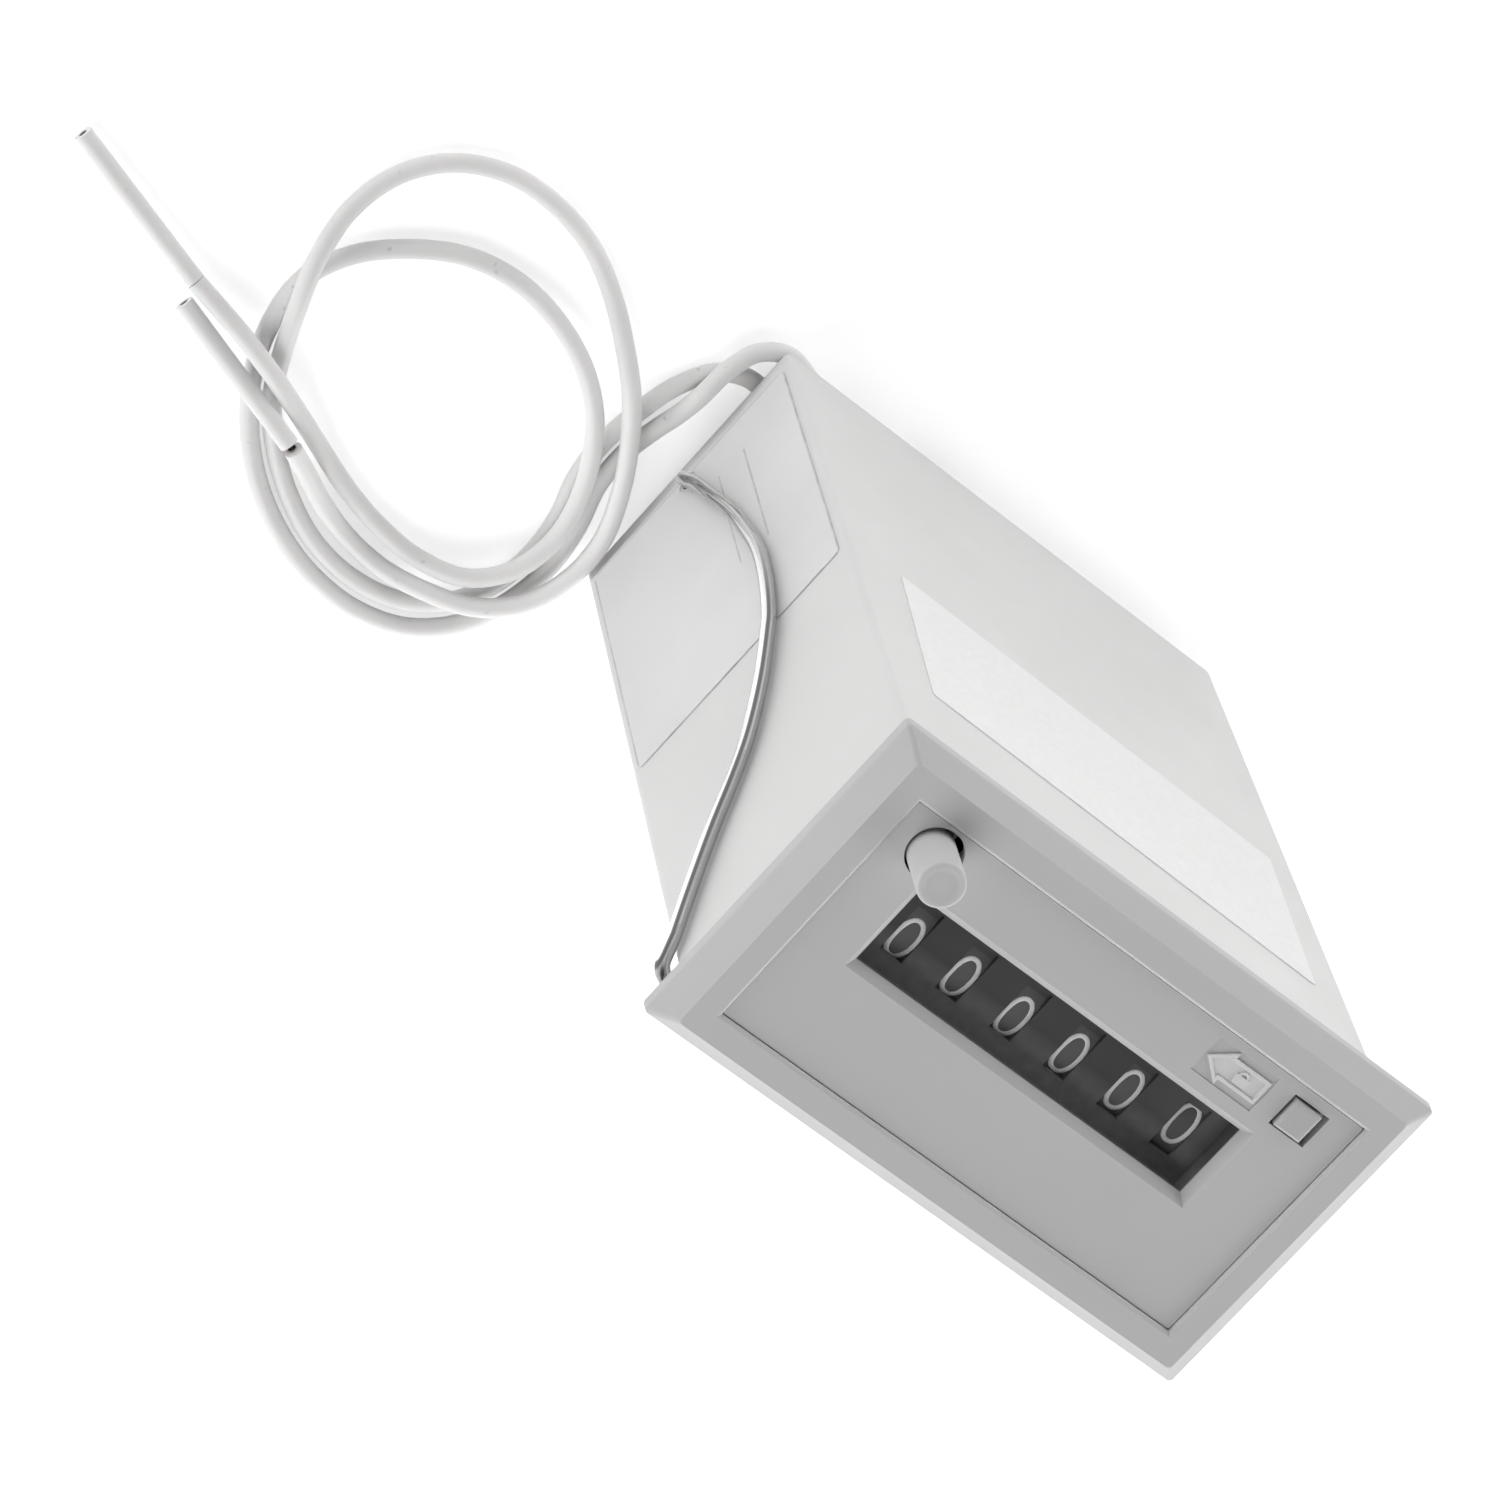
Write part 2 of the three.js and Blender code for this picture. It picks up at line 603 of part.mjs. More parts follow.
// Case sleeve: open front and rear, with a stop for the cover and a hinge hole in each side
function caseSleeve() {
  const top = BEZEL_BACK + SLEEVE_GROOVE;
  const outer = slab(CASE_WIDTH, CASE_HEIGHT, CASE_CORNER, REAR_STANDOFF, top);
  const stopTop = COVER_TOP + COVER_STOP_HEIGHT;
  const wide = slab(2 * INSIDE_X, 2 * INSIDE_Y, CASE_CORNER, REAR_STANDOFF - OVERRUN, COVER_TOP);
  const narrow = slab(
    2 * (INSIDE_X - COVER_STOP_WIDTH),
    2 * (INSIDE_Y - COVER_STOP_WIDTH),
    CASE_CORNER,
    COVER_TOP - OVERRUN,
    stopTop + OVERRUN,
  );
  const upper = slab(2 * INSIDE_X, 2 * INSIDE_Y, CASE_CORNER, stopTop, top + OVERRUN);
  const hinge = barX(
    hole(BAIL_RADIUS, BAIL_HOLE_GAP, SMALL_SIDES),
    CASE_LEFT - OVERRUN,
    -CASE_LEFT + OVERRUN,
    BAIL_HINGE_Y,
    REAR_STANDOFF + BAIL_HINGE_Z,
    SMALL_SIDES,
  );
  place("case_sleeve", outer.subtract(wide).subtract(narrow).subtract(upper).subtract(hinge), "ivory");
}

// Bezel: chamfered frame, groove for the sleeve, ledge for the face panel and a skirt
function bezel() {
  const edgeTop = BEZEL_BACK + BEZEL_EDGE;
  const edge = slab(BEZEL_WIDTH, BEZEL_HEIGHT, BEZEL_CORNER, BEZEL_BACK, edgeTop);
  const slope = solid(
    loft([
      rectangle(0, 0, BEZEL_WIDTH, BEZEL_HEIGHT, edgeTop),
      rectangle(0, 0, BEZEL_WIDTH - 2 * BEZEL_CHAMFER, BEZEL_HEIGHT - 2 * BEZEL_CHAMFER_Y, FRONT),
    ]),
  );
  const softEdges = slab(BEZEL_WIDTH, BEZEL_HEIGHT, BEZEL_CORNER, edgeTop - OVERRUN, FRONT + OVERRUN);
  const recess = slab(RECESS_WIDTH, RECESS_HEIGHT, BEZEL_CORNER, PANEL_BACK, FRONT + OVERRUN);
  const opening = slab(
    2 * LEDGE_WIDTH_X,
    2 * LEDGE_WIDTH_Y,
    BEZEL_CORNER,
    BEZEL_BACK - OVERRUN,
    FRONT,
  );
  const grooveOuter = slab(
    CASE_WIDTH + 2 * FIT_GAP,
    CASE_HEIGHT + 2 * FIT_GAP,
    CASE_CORNER,
    BEZEL_BACK - OVERRUN,
    BEZEL_BACK + SLEEVE_GROOVE,
  );
  const grooveInner = slab(
    2 * (INSIDE_X - FIT_GAP),
    2 * (INSIDE_Y - FIT_GAP),
    CASE_CORNER,
    BEZEL_BACK - 2 * OVERRUN,
    BEZEL_BACK + SLEEVE_GROOVE + OVERRUN,
  );
  const skirt = slab(
    2 * (INSIDE_X - SKIRT_GAP),
    2 * (INSIDE_Y - SKIRT_GAP),
    CASE_CORNER,
    BEZEL_BACK - SKIRT_LENGTH,
    BEZEL_BACK,
  );
  const skirtInside = slab(
    2 * SKIRT_IN_X,
    2 * SKIRT_IN_Y,
    SKIRT_CORNER,
    BEZEL_BACK - SKIRT_LENGTH - OVERRUN,
    BEZEL_BACK,
  );
  const frame = edge
    .add(slope.intersect(softEdges))
    .subtract(grooveOuter.subtract(grooveInner))
    .subtract(recess)
    .subtract(opening);
  place("bezel", frame.add(skirt.subtract(skirtInside)), "grey");
}

// The arrow's outline, which points left, about its middle, in shares of half its length and height
const ARROW_SHARES = [
  [-1, 0],
  [-0.29, 1],
  [-0.29, 0.68],
  [1, 0.68],
  [1, -0.68],
  [-0.29, -0.68],
  [-0.29, -1],
];
const ARROW_INSET_SHARE = 1.6;
const ARROW_HALF_LENGTH = 3.35;
const ARROW_HALF_HEIGHT = 1.9;
const ARROW_INSET = ARROW_INSET_SHARE * ARROW_STROKE; // from the outline's tip to its inside's tip

// A padlock sign on the arrow: a body and a bowed shackle
const PADLOCK_SHARE = 0.25; // its middle, to the right of the arrow's middle
const PADLOCK_WIDTH = 1.5;
const PADLOCK_BODY = 0.95;
const PADLOCK_SHACKLE = 0.5;
const PADLOCK_STROKE = 0.25;

function padlock(x, y, z0, z1) {
  const middle = y + (PADLOCK_SHACKLE - PADLOCK_BODY) / 2;
  const body = box(
    x - PADLOCK_WIDTH / 2,
    x + PADLOCK_WIDTH / 2,
    middle - PADLOCK_BODY / 2,
    middle + PADLOCK_BODY / 2,
    z0,
    z1,
  );
  const top = middle + PADLOCK_BODY / 2;
  const ring = barZ(PADLOCK_SHACKLE, z0, z1, x, top, SMALL_SIDES);
  const inside = barZ(
    PADLOCK_SHACKLE - PADLOCK_STROKE,
    z0 - OVERRUN,
    z1 + OVERRUN,
    x,
    top + PADLOCK_STROKE / 2,
    SMALL_SIDES,
  );
  return body.add(ring.subtract(inside));
}

function arrow(x, y, z0, z1) {
  const place2d = (length, height) =>
    ARROW_SHARES.map(([a, b]) => [x + a * length, y + b * height]);
  const outer = prismZ(place2d(ARROW_HALF_LENGTH, ARROW_HALF_HEIGHT).reverse(), z0, z1);
  const inside = place2d(ARROW_HALF_LENGTH - ARROW_INSET, ARROW_HALF_HEIGHT - ARROW_INSET);
  const inner = prismZ(inside.reverse(), z0 - OVERRUN, z1 + OVERRUN);
  return outer.subtract(inner);
}

const KNOB_LEFT = SLOT_X - SLOT_WIDTH / 2 + KNOB_LEFT_GAP;
const PLATE_X = SLOT_X - SLOT_WIDTH / 2 - PLATE_TO_SLOT - PLATE_WIDTH / 2;

// Face panel: window with bevelled sides, button hole, slot, and the sunk plate with its arrow
function facePanel() {
  const plate = slab(
    RECESS_WIDTH - 2 * FIT_GAP,
    RECESS_HEIGHT - 2 * FIT_GAP,
    BEZEL_CORNER,
    PANEL_BACK,
    PANEL_FRONT,
  );
  const reach = WINDOW_BEVEL / WINDOW_BEVEL_DEPTH;
  const bevel = solid(
    loft([
      rectangle(WINDOW_X, WINDOW_Y, WINDOW_WIDTH, WINDOW_HEIGHT, PANEL_FRONT - WINDOW_BEVEL_DEPTH),
      rectangle(
        WINDOW_X,
        WINDOW_Y,
        WINDOW_WIDTH + 2 * (WINDOW_BEVEL + reach * OVERRUN),
        WINDOW_HEIGHT + 2 * (WINDOW_BEVEL + reach * OVERRUN),
        PANEL_FRONT + OVERRUN,
      ),
    ]),
  );
  const windowX = [WINDOW_X - WINDOW_WIDTH / 2, WINDOW_X + WINDOW_WIDTH / 2];
  const windowY = [WINDOW_Y - WINDOW_HEIGHT / 2, WINDOW_Y + WINDOW_HEIGHT / 2];
  const window = box(...windowX, ...windowY, PANEL_BACK - OVERRUN, PANEL_FRONT);
  const button = barZ(BUTTON_HOLE, PANEL_BACK - OVERRUN, PANEL_FRONT + OVERRUN, BUTTON_X, BUTTON_Y);
  const slot = box(
    SLOT_X - SLOT_WIDTH / 2,
    SLOT_X + SLOT_WIDTH / 2,
    SLOT_Y - SLOT_HEIGHT / 2,
    SLOT_Y + SLOT_HEIGHT / 2,
    PANEL_BACK - OVERRUN,
    PANEL_FRONT + OVERRUN,
  );
  const sunk = box(
    PLATE_X - PLATE_WIDTH / 2,
    PLATE_X + PLATE_WIDTH / 2,
    SLOT_Y - PLATE_HEIGHT / 2,
    SLOT_Y + PLATE_HEIGHT / 2,
    PANEL_FRONT - PLATE_SINK,
    PANEL_FRONT + OVERRUN,
  );
  const floor = PANEL_FRONT - PLATE_SINK;
  const signs = arrow(PLATE_X, SLOT_Y, floor - PLATE_SINK, floor + ARROW_RISE).add(
    padlock(PLATE_X + PADLOCK_SHARE * ARROW_HALF_LENGTH, SLOT_Y, floor - PLATE_SINK, floor + ARROW_RISE),
  );
  const cut = plate.subtract(bevel).subtract(window).subtract(button).subtract(slot).subtract(sunk);
  place("face_panel", cut.add(signs), "grey");
}

// Mask on the panel's back, between the window and the drums
function windowMask() {
  const back = AXLE_Z + DRUM_RADIUS + MASK_DRUM_GAP;
  const front = PANEL_BACK - FIT_GAP;
  const inner = [WINDOW_WIDTH / 2 + FIT_GAP, WINDOW_HEIGHT / 2 + FIT_GAP];
  const [outX, outY] = inner.map((half) => half + MASK_WALL);
  const [inX, inY] = inner;
  const tray = box(WINDOW_X - outX, WINDOW_X + outX, WINDOW_Y - outY, WINDOW_Y + outY, back, front);
  const inside = box(
    WINDOW_X - inX,
    WINDOW_X + inX,
    WINDOW_Y - inY,
    WINDOW_Y + inY,
    back + MASK_PLATE,
    front + OVERRUN,
  );
  let mask = tray.subtract(inside);
  WHEEL_NAMES.forEach((name, index) => {
    const middle = drumLeft(index) + DRUM_WIDTH / 2;
    const view = box(
      middle - MASK_HOLE_WIDTH / 2,
      middle + MASK_HOLE_WIDTH / 2,
      AXLE_Y + MASK_HOLE_RISE - MASK_HOLE_HEIGHT / 2,
      AXLE_Y + MASK_HOLE_RISE + MASK_HOLE_HEIGHT / 2,
      back - OVERRUN,
      back + MASK_PLATE + OVERRUN,
    );
    mask = mask.subtract(view);
  });
  place("window_mask", mask, "drum");
}

// Lock slider: a knob in the slot on a flat bar that runs behind the panel to the button
function lockSlider() {
  const top = PANEL_BACK - 2 * FIT_GAP;
  const bottom = top - SLIDER_THICKNESS;
  const knobMiddle = KNOB_LEFT + KNOB_WIDTH / 2;
  const tip = BUTTON_X + BUTTON_RADIUS + SEAT_GAP + SLIDER_LEFT_TRAVEL;
  const base = box(
    knobMiddle - SLIDER_BASE_WIDTH / 2,
    knobMiddle + SLIDER_BASE_WIDTH / 2,
    SLOT_Y - SLIDER_BASE_HEIGHT / 2,
    SLOT_Y + SLIDER_BASE_HEIGHT / 2,
    bottom,
    top,
  );
  const bar = box(
    tip,
    knobMiddle,
    SLOT_Y - SLIDER_BAR_HEIGHT / 2,
    SLOT_Y + SLIDER_BAR_HEIGHT / 2,
    bottom,
    top,
  );
  const knob = box(
    KNOB_LEFT,
    KNOB_LEFT + KNOB_WIDTH,
    SLOT_Y - KNOB_HEIGHT / 2,
    SLOT_Y + KNOB_HEIGHT / 2,
    bottom,
    PANEL_FRONT + KNOB_PROUD,
  );
  place("lock_slider", base.add(bar).add(knob), "button");
}

// Reset button: rod, two ears that stop it under the bezel, and a stem down to the comb's lever
function resetButton() {
  const tip = PANEL_FRONT + BUTTON_PROUD;
  const rod = barZ(BUTTON_RADIUS, EAR_TOP - EAR_HEIGHT, tip - BUTTON_RIM, BUTTON_X, BUTTON_Y);
  const rim = barZ(
    BUTTON_RADIUS,
    tip - BUTTON_RIM,
    tip,
    BUTTON_X,
    BUTTON_Y,
    ROUND_SIDES,
    BUTTON_RADIUS - BUTTON_RIM,
  );
  const ears = box(
    BUTTON_X - EAR_WIDTH / 2,
    BUTTON_X + EAR_WIDTH / 2,
    BUTTON_Y - EAR_LENGTH / 2,
    BUTTON_Y + EAR_LENGTH / 2,
    EAR_TOP - EAR_HEIGHT,
    EAR_TOP,
  );
  const trim = box(
    BUTTON_X - EAR_WIDTH / 2,
    BUTTON_X + EAR_WIDTH / 2,
    BUTTON_Y - EAR_LENGTH,
    BUTTON_Y + EAR_LENGTH,
    EAR_TOP - EAR_HEIGHT - OVERRUN,
    EAR_TOP,
  );
  const above = box(
    BUTTON_X - EAR_WIDTH,
    BUTTON_X + EAR_WIDTH,
    BUTTON_Y - EAR_LENGTH,
    BUTTON_Y + EAR_LENGTH,
    EAR_TOP,
    tip + OVERRUN,
  );
  const stem = barZ(STEM_RADIUS, STEM_FOOT, EAR_TOP - EAR_HEIGHT, BUTTON_X, BUTTON_Y);
  const body = rod.add(rim).intersect(above.add(trim));
  place("reset_button", body.add(ears).add(stem), "button");
  place(
    "reset_spring",
    spring(
      RESET_COIL,
      RESET_WIRE,
      RESET_TURNS,
      BUTTON_X,
      BUTTON_Y,
      EAR_TOP - GUIDE_DROP + FIT_GAP,
      EAR_TOP - EAR_HEIGHT - FIT_GAP,
    ),
    "steel",
  );
}

// Chassis: base along the bottom of the case, two walls for the shafts, a guide tab and a rear lug
function chassis() {
  const base = box(
    -CHASSIS_OUT_X,
    CHASSIS_OUT_X,
    CHASSIS_OUT_Y,
    CHASSIS_IN_Y,
    COVER_TOP + 2 * FIT_GAP,
    CHASSIS_TOP,
  );
  const lug = box(
    -LUG_WIDTH / 2,
    LUG_WIDTH / 2,
    CHASSIS_OUT_Y,
    CHASSIS_OUT_Y + LUG_LENGTH,
    COVER_TOP + 2 * FIT_GAP,
    COVER_TOP + 2 * FIT_GAP + SHEET,
  );
  const wall = (x0, x1) =>
    box(x0, x1, CHASSIS_OUT_Y, SKIRT_IN_Y - WALL_TOP_GAP, CHASSIS_TOP - WALL_LENGTH, CHASSIS_TOP);
  const guideTop = EAR_TOP - GUIDE_DROP;
  const guide = box(
    -CHASSIS_OUT_X,
    -CHASSIS_IN_X + GUIDE_WIDTH,
    BUTTON_Y - GUIDE_LENGTH / 2,
    BUTTON_Y + GUIDE_LENGTH / 2,
    guideTop - SHEET,
    guideTop,
  );
  const across = (radius, y, z) =>
    barX(hole(radius, RUN_GAP), -CHASSIS_OUT_X - OVERRUN, CHASSIS_OUT_X + OVERRUN, y, z);
  const stemHole = barZ(
    hole(STEM_RADIUS, RUN_GAP),
    guideTop - SHEET - OVERRUN,
    guideTop + OVERRUN,
    BUTTON_X,
    BUTTON_Y,
  );
  let made = base
    .add(lug)
    .add(wall(-CHASSIS_OUT_X, -CHASSIS_IN_X))
    .add(wall(CHASSIS_IN_X, CHASSIS_OUT_X))
    .add(guide)
    .subtract(across(AXLE_RADIUS, AXLE_Y, AXLE_Z))
    .subtract(across(PINION_SHAFT_RADIUS, AXLE_Y, PINION_Z))
    .subtract(across(COMB_RADIUS, COMB_Y, COMB_Z))
    .subtract(stemHole);
  for (const side of [-1, 1]) {
    const screw = barZ(
      hole(SCREW_RADIUS, RUN_GAP),
      COVER_TOP,
      COVER_TOP + SHEET + OVERRUN,
      (side * SCREW_SPACING) / 2,
      SCREW_Y,
    );
    made = made.subtract(screw);
  }
  place("chassis", made, "zinc");
}

// Number wheels: a tooth of each gear points at its pinion
function numberWheel(index) {
  const left = drumLeft(index);
  const drum = barX(DRUM_RADIUS, left, left + DRUM_WIDTH, AXLE_Y, AXLE_Z, DRUM_SIDES);
  const middle = left + DRUM_WIDTH / 2;
  const disc = barX(CARRY_TIP - CARRY_DEPTH, left - CARRY_WIDTH, middle, AXLE_Y, AXLE_Z);
  const outline = toothed(GEAR_TEETH, CARRY_DEPTH, CARRY_TIP, TOOTH_ROOT_SHARE, TOOTH_TIP_SHARE, 0);
  const tooth = outline.slice(0, TOOTH_POINTS);
  const carryShares = [-CARRY_TURN_SHARE, CARRY_TURN_SHARE];
  let wheel = drum.add(disc);
  for (const share of carryShares) {
    const turn = 2 * Math.PI * share;
    const turned = tooth.map(([a, b]) => [
      a * Math.cos(turn) - b * Math.sin(turn),
      a * Math.sin(turn) + b * Math.cos(turn),
    ]);
    wheel = wheel.add(prismX(shift(turned, AXLE_Y, AXLE_Z), left - CARRY_WIDTH, middle));
  }
  const right = left + DRUM_WIDTH;
  if (index === LAST_WHEEL) {
    wheel = wheel.add(barX(UNITS_HUB_RADIUS, middle, right + UNITS_HUB_LENGTH, AXLE_Y, AXLE_Z));
  } else {
    const gear = toothed(
      GEAR_TEETH,
      GEAR_RADIUS - DEDENDUM,
      GEAR_RADIUS + ADDENDUM,
      TOOTH_ROOT_SHARE,
      TOOTH_TIP_SHARE,
      -Math.PI / 2,
    );
    wheel = wheel.add(prismX(shift(gear, AXLE_Y, AXLE_Z), middle, right + GEAR_WIDTH));
  }
  const bore = barX(
    hole(AXLE_RADIUS, RUN_GAP),
    left - CARRY_WIDTH - OVERRUN,
    right + UNITS_HUB_LENGTH + OVERRUN,
    AXLE_Y,
    AXLE_Z,
  );
  place(WHEEL_NAMES[index], wheel.subtract(bore), "drum");
}

// Transfer pinions: a gap of each pinion points at its wheel
function transferPinion(index) {
  const x0 = grooveLeft(index) + PINION_SIDE_GAP;
  const x1 = grooveLeft(index) + GROOVE_WIDTH - PINION_SIDE_GAP;
  const outline = toothed(
    PINION_TEETH,
    PINION_RADIUS - DEDENDUM,
    PINION_RADIUS + ADDENDUM,
    PINION_ROOT_SHARE,
    PINION_TIP_SHARE,
    Math.PI / 2 + Math.PI / PINION_TEETH,
  );
  const body = prismX(shift(outline, AXLE_Y, PINION_Z), x0, x1);
  const bore = barX(hole(PINION_SHAFT_RADIUS, RUN_GAP), x0 - OVERRUN, x1 + OVERRUN, AXLE_Y, PINION_Z);
  place("transfer_pinion_" + (index + 1), body.subtract(bore), "nylon");
}

// Ratchet wheel on the units wheel's hub
function ratchetWheel() {
  const x1 = RATCHET_LEFT + RATCHET_WIDTH;
  const outline = toothed(
    RATCHET_TEETH,
    RATCHET_TIP - RATCHET_DEPTH,
    RATCHET_TIP,
    TOOTH_ROOT_SHARE,
    TOOTH_TIP_SHARE,
    0,
  );
  const body = prismX(shift(outline, AXLE_Y, AXLE_Z), RATCHET_LEFT, x1);
  const bore = barX(hole(AXLE_RADIUS, RUN_GAP), RATCHET_LEFT - OVERRUN, x1 + OVERRUN, AXLE_Y, AXLE_Z);
  place("ratchet_wheel", body.subtract(bore), "nylon");
}

// Shafts across the chassis, and the sleeves that keep the wheels in their row
function shafts() {
  place("wheel_shaft", barX(AXLE_RADIUS, -CHASSIS_OUT_X, CHASSIS_OUT_X, AXLE_Y, AXLE_Z), "steel");
  place(
    "pinion_shaft",
    barX(PINION_SHAFT_RADIUS, -CHASSIS_OUT_X, CHASSIS_OUT_X, AXLE_Y, PINION_Z),
    "steel",
  );
  const sleeve = (name, x0, x1) => {
    const outer = barX(UNITS_HUB_RADIUS - SHEET / 2, x0, x1, AXLE_Y, AXLE_Z);
    const bore = barX(hole(AXLE_RADIUS, RUN_GAP), x0 - OVERRUN, x1 + OVERRUN, AXLE_Y, AXLE_Z);
    place(name, outer.subtract(bore), "nylon");
  };
  sleeve("left_spacer", -CHASSIS_IN_X + FIT_GAP, ROW_LEFT - WHEEL_GAP);
  sleeve("right_spacer", RATCHET_LEFT + RATCHET_WIDTH + WHEEL_GAP, CHASSIS_IN_X - FIT_GAP);
}

// Reset comb: one rocking shaft with a finger for each wheel and a lever under the button's stem
function resetComb() {
  let comb = barX(COMB_RADIUS, -CHASSIS_OUT_X, CHASSIS_OUT_X, COMB_Y, COMB_Z);
  const finger = [
    [COMB_Y - FINGER_WIDTH / 2, COMB_Z],
    [COMB_Y + FINGER_WIDTH / 2, COMB_Z],
    [COMB_Y + FINGER_LEAN, COMB_Z + FINGER_LENGTH],
    [COMB_Y + FINGER_LEAN - FINGER_WIDTH, COMB_Z + FINGER_LENGTH],
  ];
  WHEEL_NAMES.forEach((name, index) => {
    const middle = grooveLeft(index) + GROOVE_WIDTH / 2;
    comb = comb.add(prismX(finger, middle - FINGER_THICKNESS / 2, middle + FINGER_THICKNESS / 2));
  });
  const padTop = STEM_FOOT - SEAT_GAP;
  const lever = [
    [COMB_Y, COMB_Z - LEVER_HALF],
    [BUTTON_Y + PAD_LENGTH, padTop - 2 * LEVER_HALF],
    [BUTTON_Y + PAD_LENGTH, padTop],
    [BUTTON_Y - PAD_LENGTH, padTop],
    [COMB_Y, COMB_Z + LEVER_HALF],
  ];
  comb = comb.add(prismX(lever, BUTTON_X - LEVER_THICKNESS / 2, BUTTON_X + LEVER_THICKNESS / 2));
  place("reset_comb", comb, "zinc");
}

// Magnet yoke: base, limb beside the coil, two ears for the hinge pin and a hook for the return spring
function magnetYoke() {
  const half = YOKE_WIDTH / 2;
  const base = box(-half, half, CHASSIS_IN_Y, LIMB_Y + YOKE_SHEET, YOKE_Z, YOKE_TOP);
  const limbTop = HINGE_Z - KNUCKLE_RADIUS - SEAT_GAP;
  const limb = box(-half, half, LIMB_Y, LIMB_Y + YOKE_SHEET, YOKE_Z, limbTop);
  const hook = box(
    -TAIL_WIDTH / 2,
    TAIL_WIDTH / 2,
    LIMB_Y,
    HINGE_Y + TAIL_LENGTH,
    ARMATURE_BOTTOM - RETURN_LENGTH - YOKE_SHEET / 2,
    ARMATURE_BOTTOM - RETURN_LENGTH,
  );
  let made = base.add(limb).add(hook);
  for (const [x0, x1] of [
    [-half, -half + EAR_SHEET],
    [half - EAR_SHEET, half],
  ]) {
    made = made.add(box(x0, x1, LIMB_Y, LIMB_Y + YOKE_SHEET, YOKE_Z, HINGE_Z + KNUCKLE_RADIUS));
  }
  const pinHole = hole(PIN_RADIUS, RUN_GAP, SMALL_SIDES);
  const pin = barX(pinHole, -half - OVERRUN, half + OVERRUN, HINGE_Y, HINGE_Z, SMALL_SIDES);
  place("magnet_yoke", made.subtract(pin), "iron");
  place("hinge_pin", barX(PIN_RADIUS, -half, half, HINGE_Y, HINGE_Z, SMALL_SIDES), "steel");
}

// Core, bobbin with its terminal block, winding and the two terminals
function coil() {
  place("magnet_core", barZ(CORE_RADIUS, YOKE_TOP, POLE_Z, 0, COIL_Y), "iron");
  const top = YOKE_TOP + BOBBIN_LENGTH;
  const tubeBody = barZ(BOBBIN_TUBE, YOKE_TOP, top, 0, COIL_Y);
  const lower = barZ(BOBBIN_FLANGE, YOKE_TOP, YOKE_TOP + FLANGE_THICKNESS, 0, COIL_Y);
  const upper = barZ(BOBBIN_FLANGE, top - FLANGE_THICKNESS, top, 0, COIL_Y);
  const block = box(
    TERMINAL_X - TERMINAL_BLOCK,
    0,
    COIL_Y - TERMINAL_SPACING / 2 - TERMINAL_BLOCK,
    COIL_Y + TERMINAL_SPACING / 2 + TERMINAL_BLOCK,
    YOKE_TOP,
    YOKE_TOP + FLANGE_THICKNESS,
  );
  const bore = barZ(hole(CORE_RADIUS, FIT_GAP), YOKE_TOP - OVERRUN, top + OVERRUN, 0, COIL_Y);
  let bobbin = tubeBody.add(lower).add(upper).add(block).subtract(bore);
  for (const side of [-1, 1]) {
    const y = COIL_Y + (side * TERMINAL_SPACING) / 2;
    const from = YOKE_TOP - TERMINAL_DROP;
    const socket = barZ(
      hole(TERMINAL_RADIUS, RUN_GAP, SMALL_SIDES),
      YOKE_TOP - OVERRUN,
      YOKE_TOP + FLANGE_THICKNESS + OVERRUN,
      TERMINAL_X,
      y,
      SMALL_SIDES,
    );
    bobbin = bobbin.subtract(socket);
    const pin = barZ(TERMINAL_RADIUS, from, from + TERMINAL_LENGTH, TERMINAL_X, y, SMALL_SIDES);
    place(side < 0 ? "coil_terminal_2" : "coil_terminal_1", pin, "brass");
  }
  place("coil_bobbin", bobbin, "nylon");
  const from = YOKE_TOP + FLANGE_THICKNESS + FIT_GAP;
  const to = top - FLANGE_THICKNESS - FIT_GAP;
  const wound = barZ(WINDING_RADIUS, from, to, 0, COIL_Y);
  const inside = barZ(hole(BOBBIN_TUBE, FIT_GAP), from - OVERRUN, to + OVERRUN, 0, COIL_Y);
  place("coil_winding", wound.subtract(inside), "copper");
}

// Armature over the pole, with its knuckle on the pin, its tail and the arm that carries the pallet lever
function armature() {
  const top = ARMATURE_BOTTOM + ARMATURE_SHEET;
  const half = YOKE_WIDTH / 2 - EAR_SHEET - SEAT_GAP;
  const plate = box(-half, half, COIL_Y - ARMATURE_FRONT, HINGE_Y, ARMATURE_BOTTOM, top);
  const knuckle = barX(KNUCKLE_RADIUS, -half, half, HINGE_Y, HINGE_Z);
  const tail = box(
    -TAIL_WIDTH / 2,
    TAIL_WIDTH / 2,
    HINGE_Y,
    HINGE_Y + TAIL_LENGTH,
    ARMATURE_BOTTOM,
    top,
  );
  const arm = box(
    0,
    RATCHET_LEFT + RATCHET_WIDTH,
    AXLE_Y - ARM_WIDTH / 2,
    AXLE_Y + ARM_WIDTH / 2,
    ARMATURE_BOTTOM,
    top,
  );
  const pinHole = hole(PIN_RADIUS, RUN_GAP, SMALL_SIDES);
  const bore = barX(pinHole, -half - OVERRUN, half + OVERRUN, HINGE_Y, HINGE_Z, SMALL_SIDES);
  place("armature", plate.add(knuckle).add(tail).add(arm).subtract(bore), "iron");
  place(
    "return_spring",
    spring(
      RETURN_COIL,
      RETURN_WIRE,
      RETURN_TURNS,
      0,
      HINGE_Y + TAIL_LENGTH - RETURN_COIL + RETURN_WIRE / 2,
      ARMATURE_BOTTOM - RETURN_LENGTH + FIT_GAP,
      ARMATURE_BOTTOM - FIT_GAP,
    ),
    "steel",
  );
  palletLever(top);
}

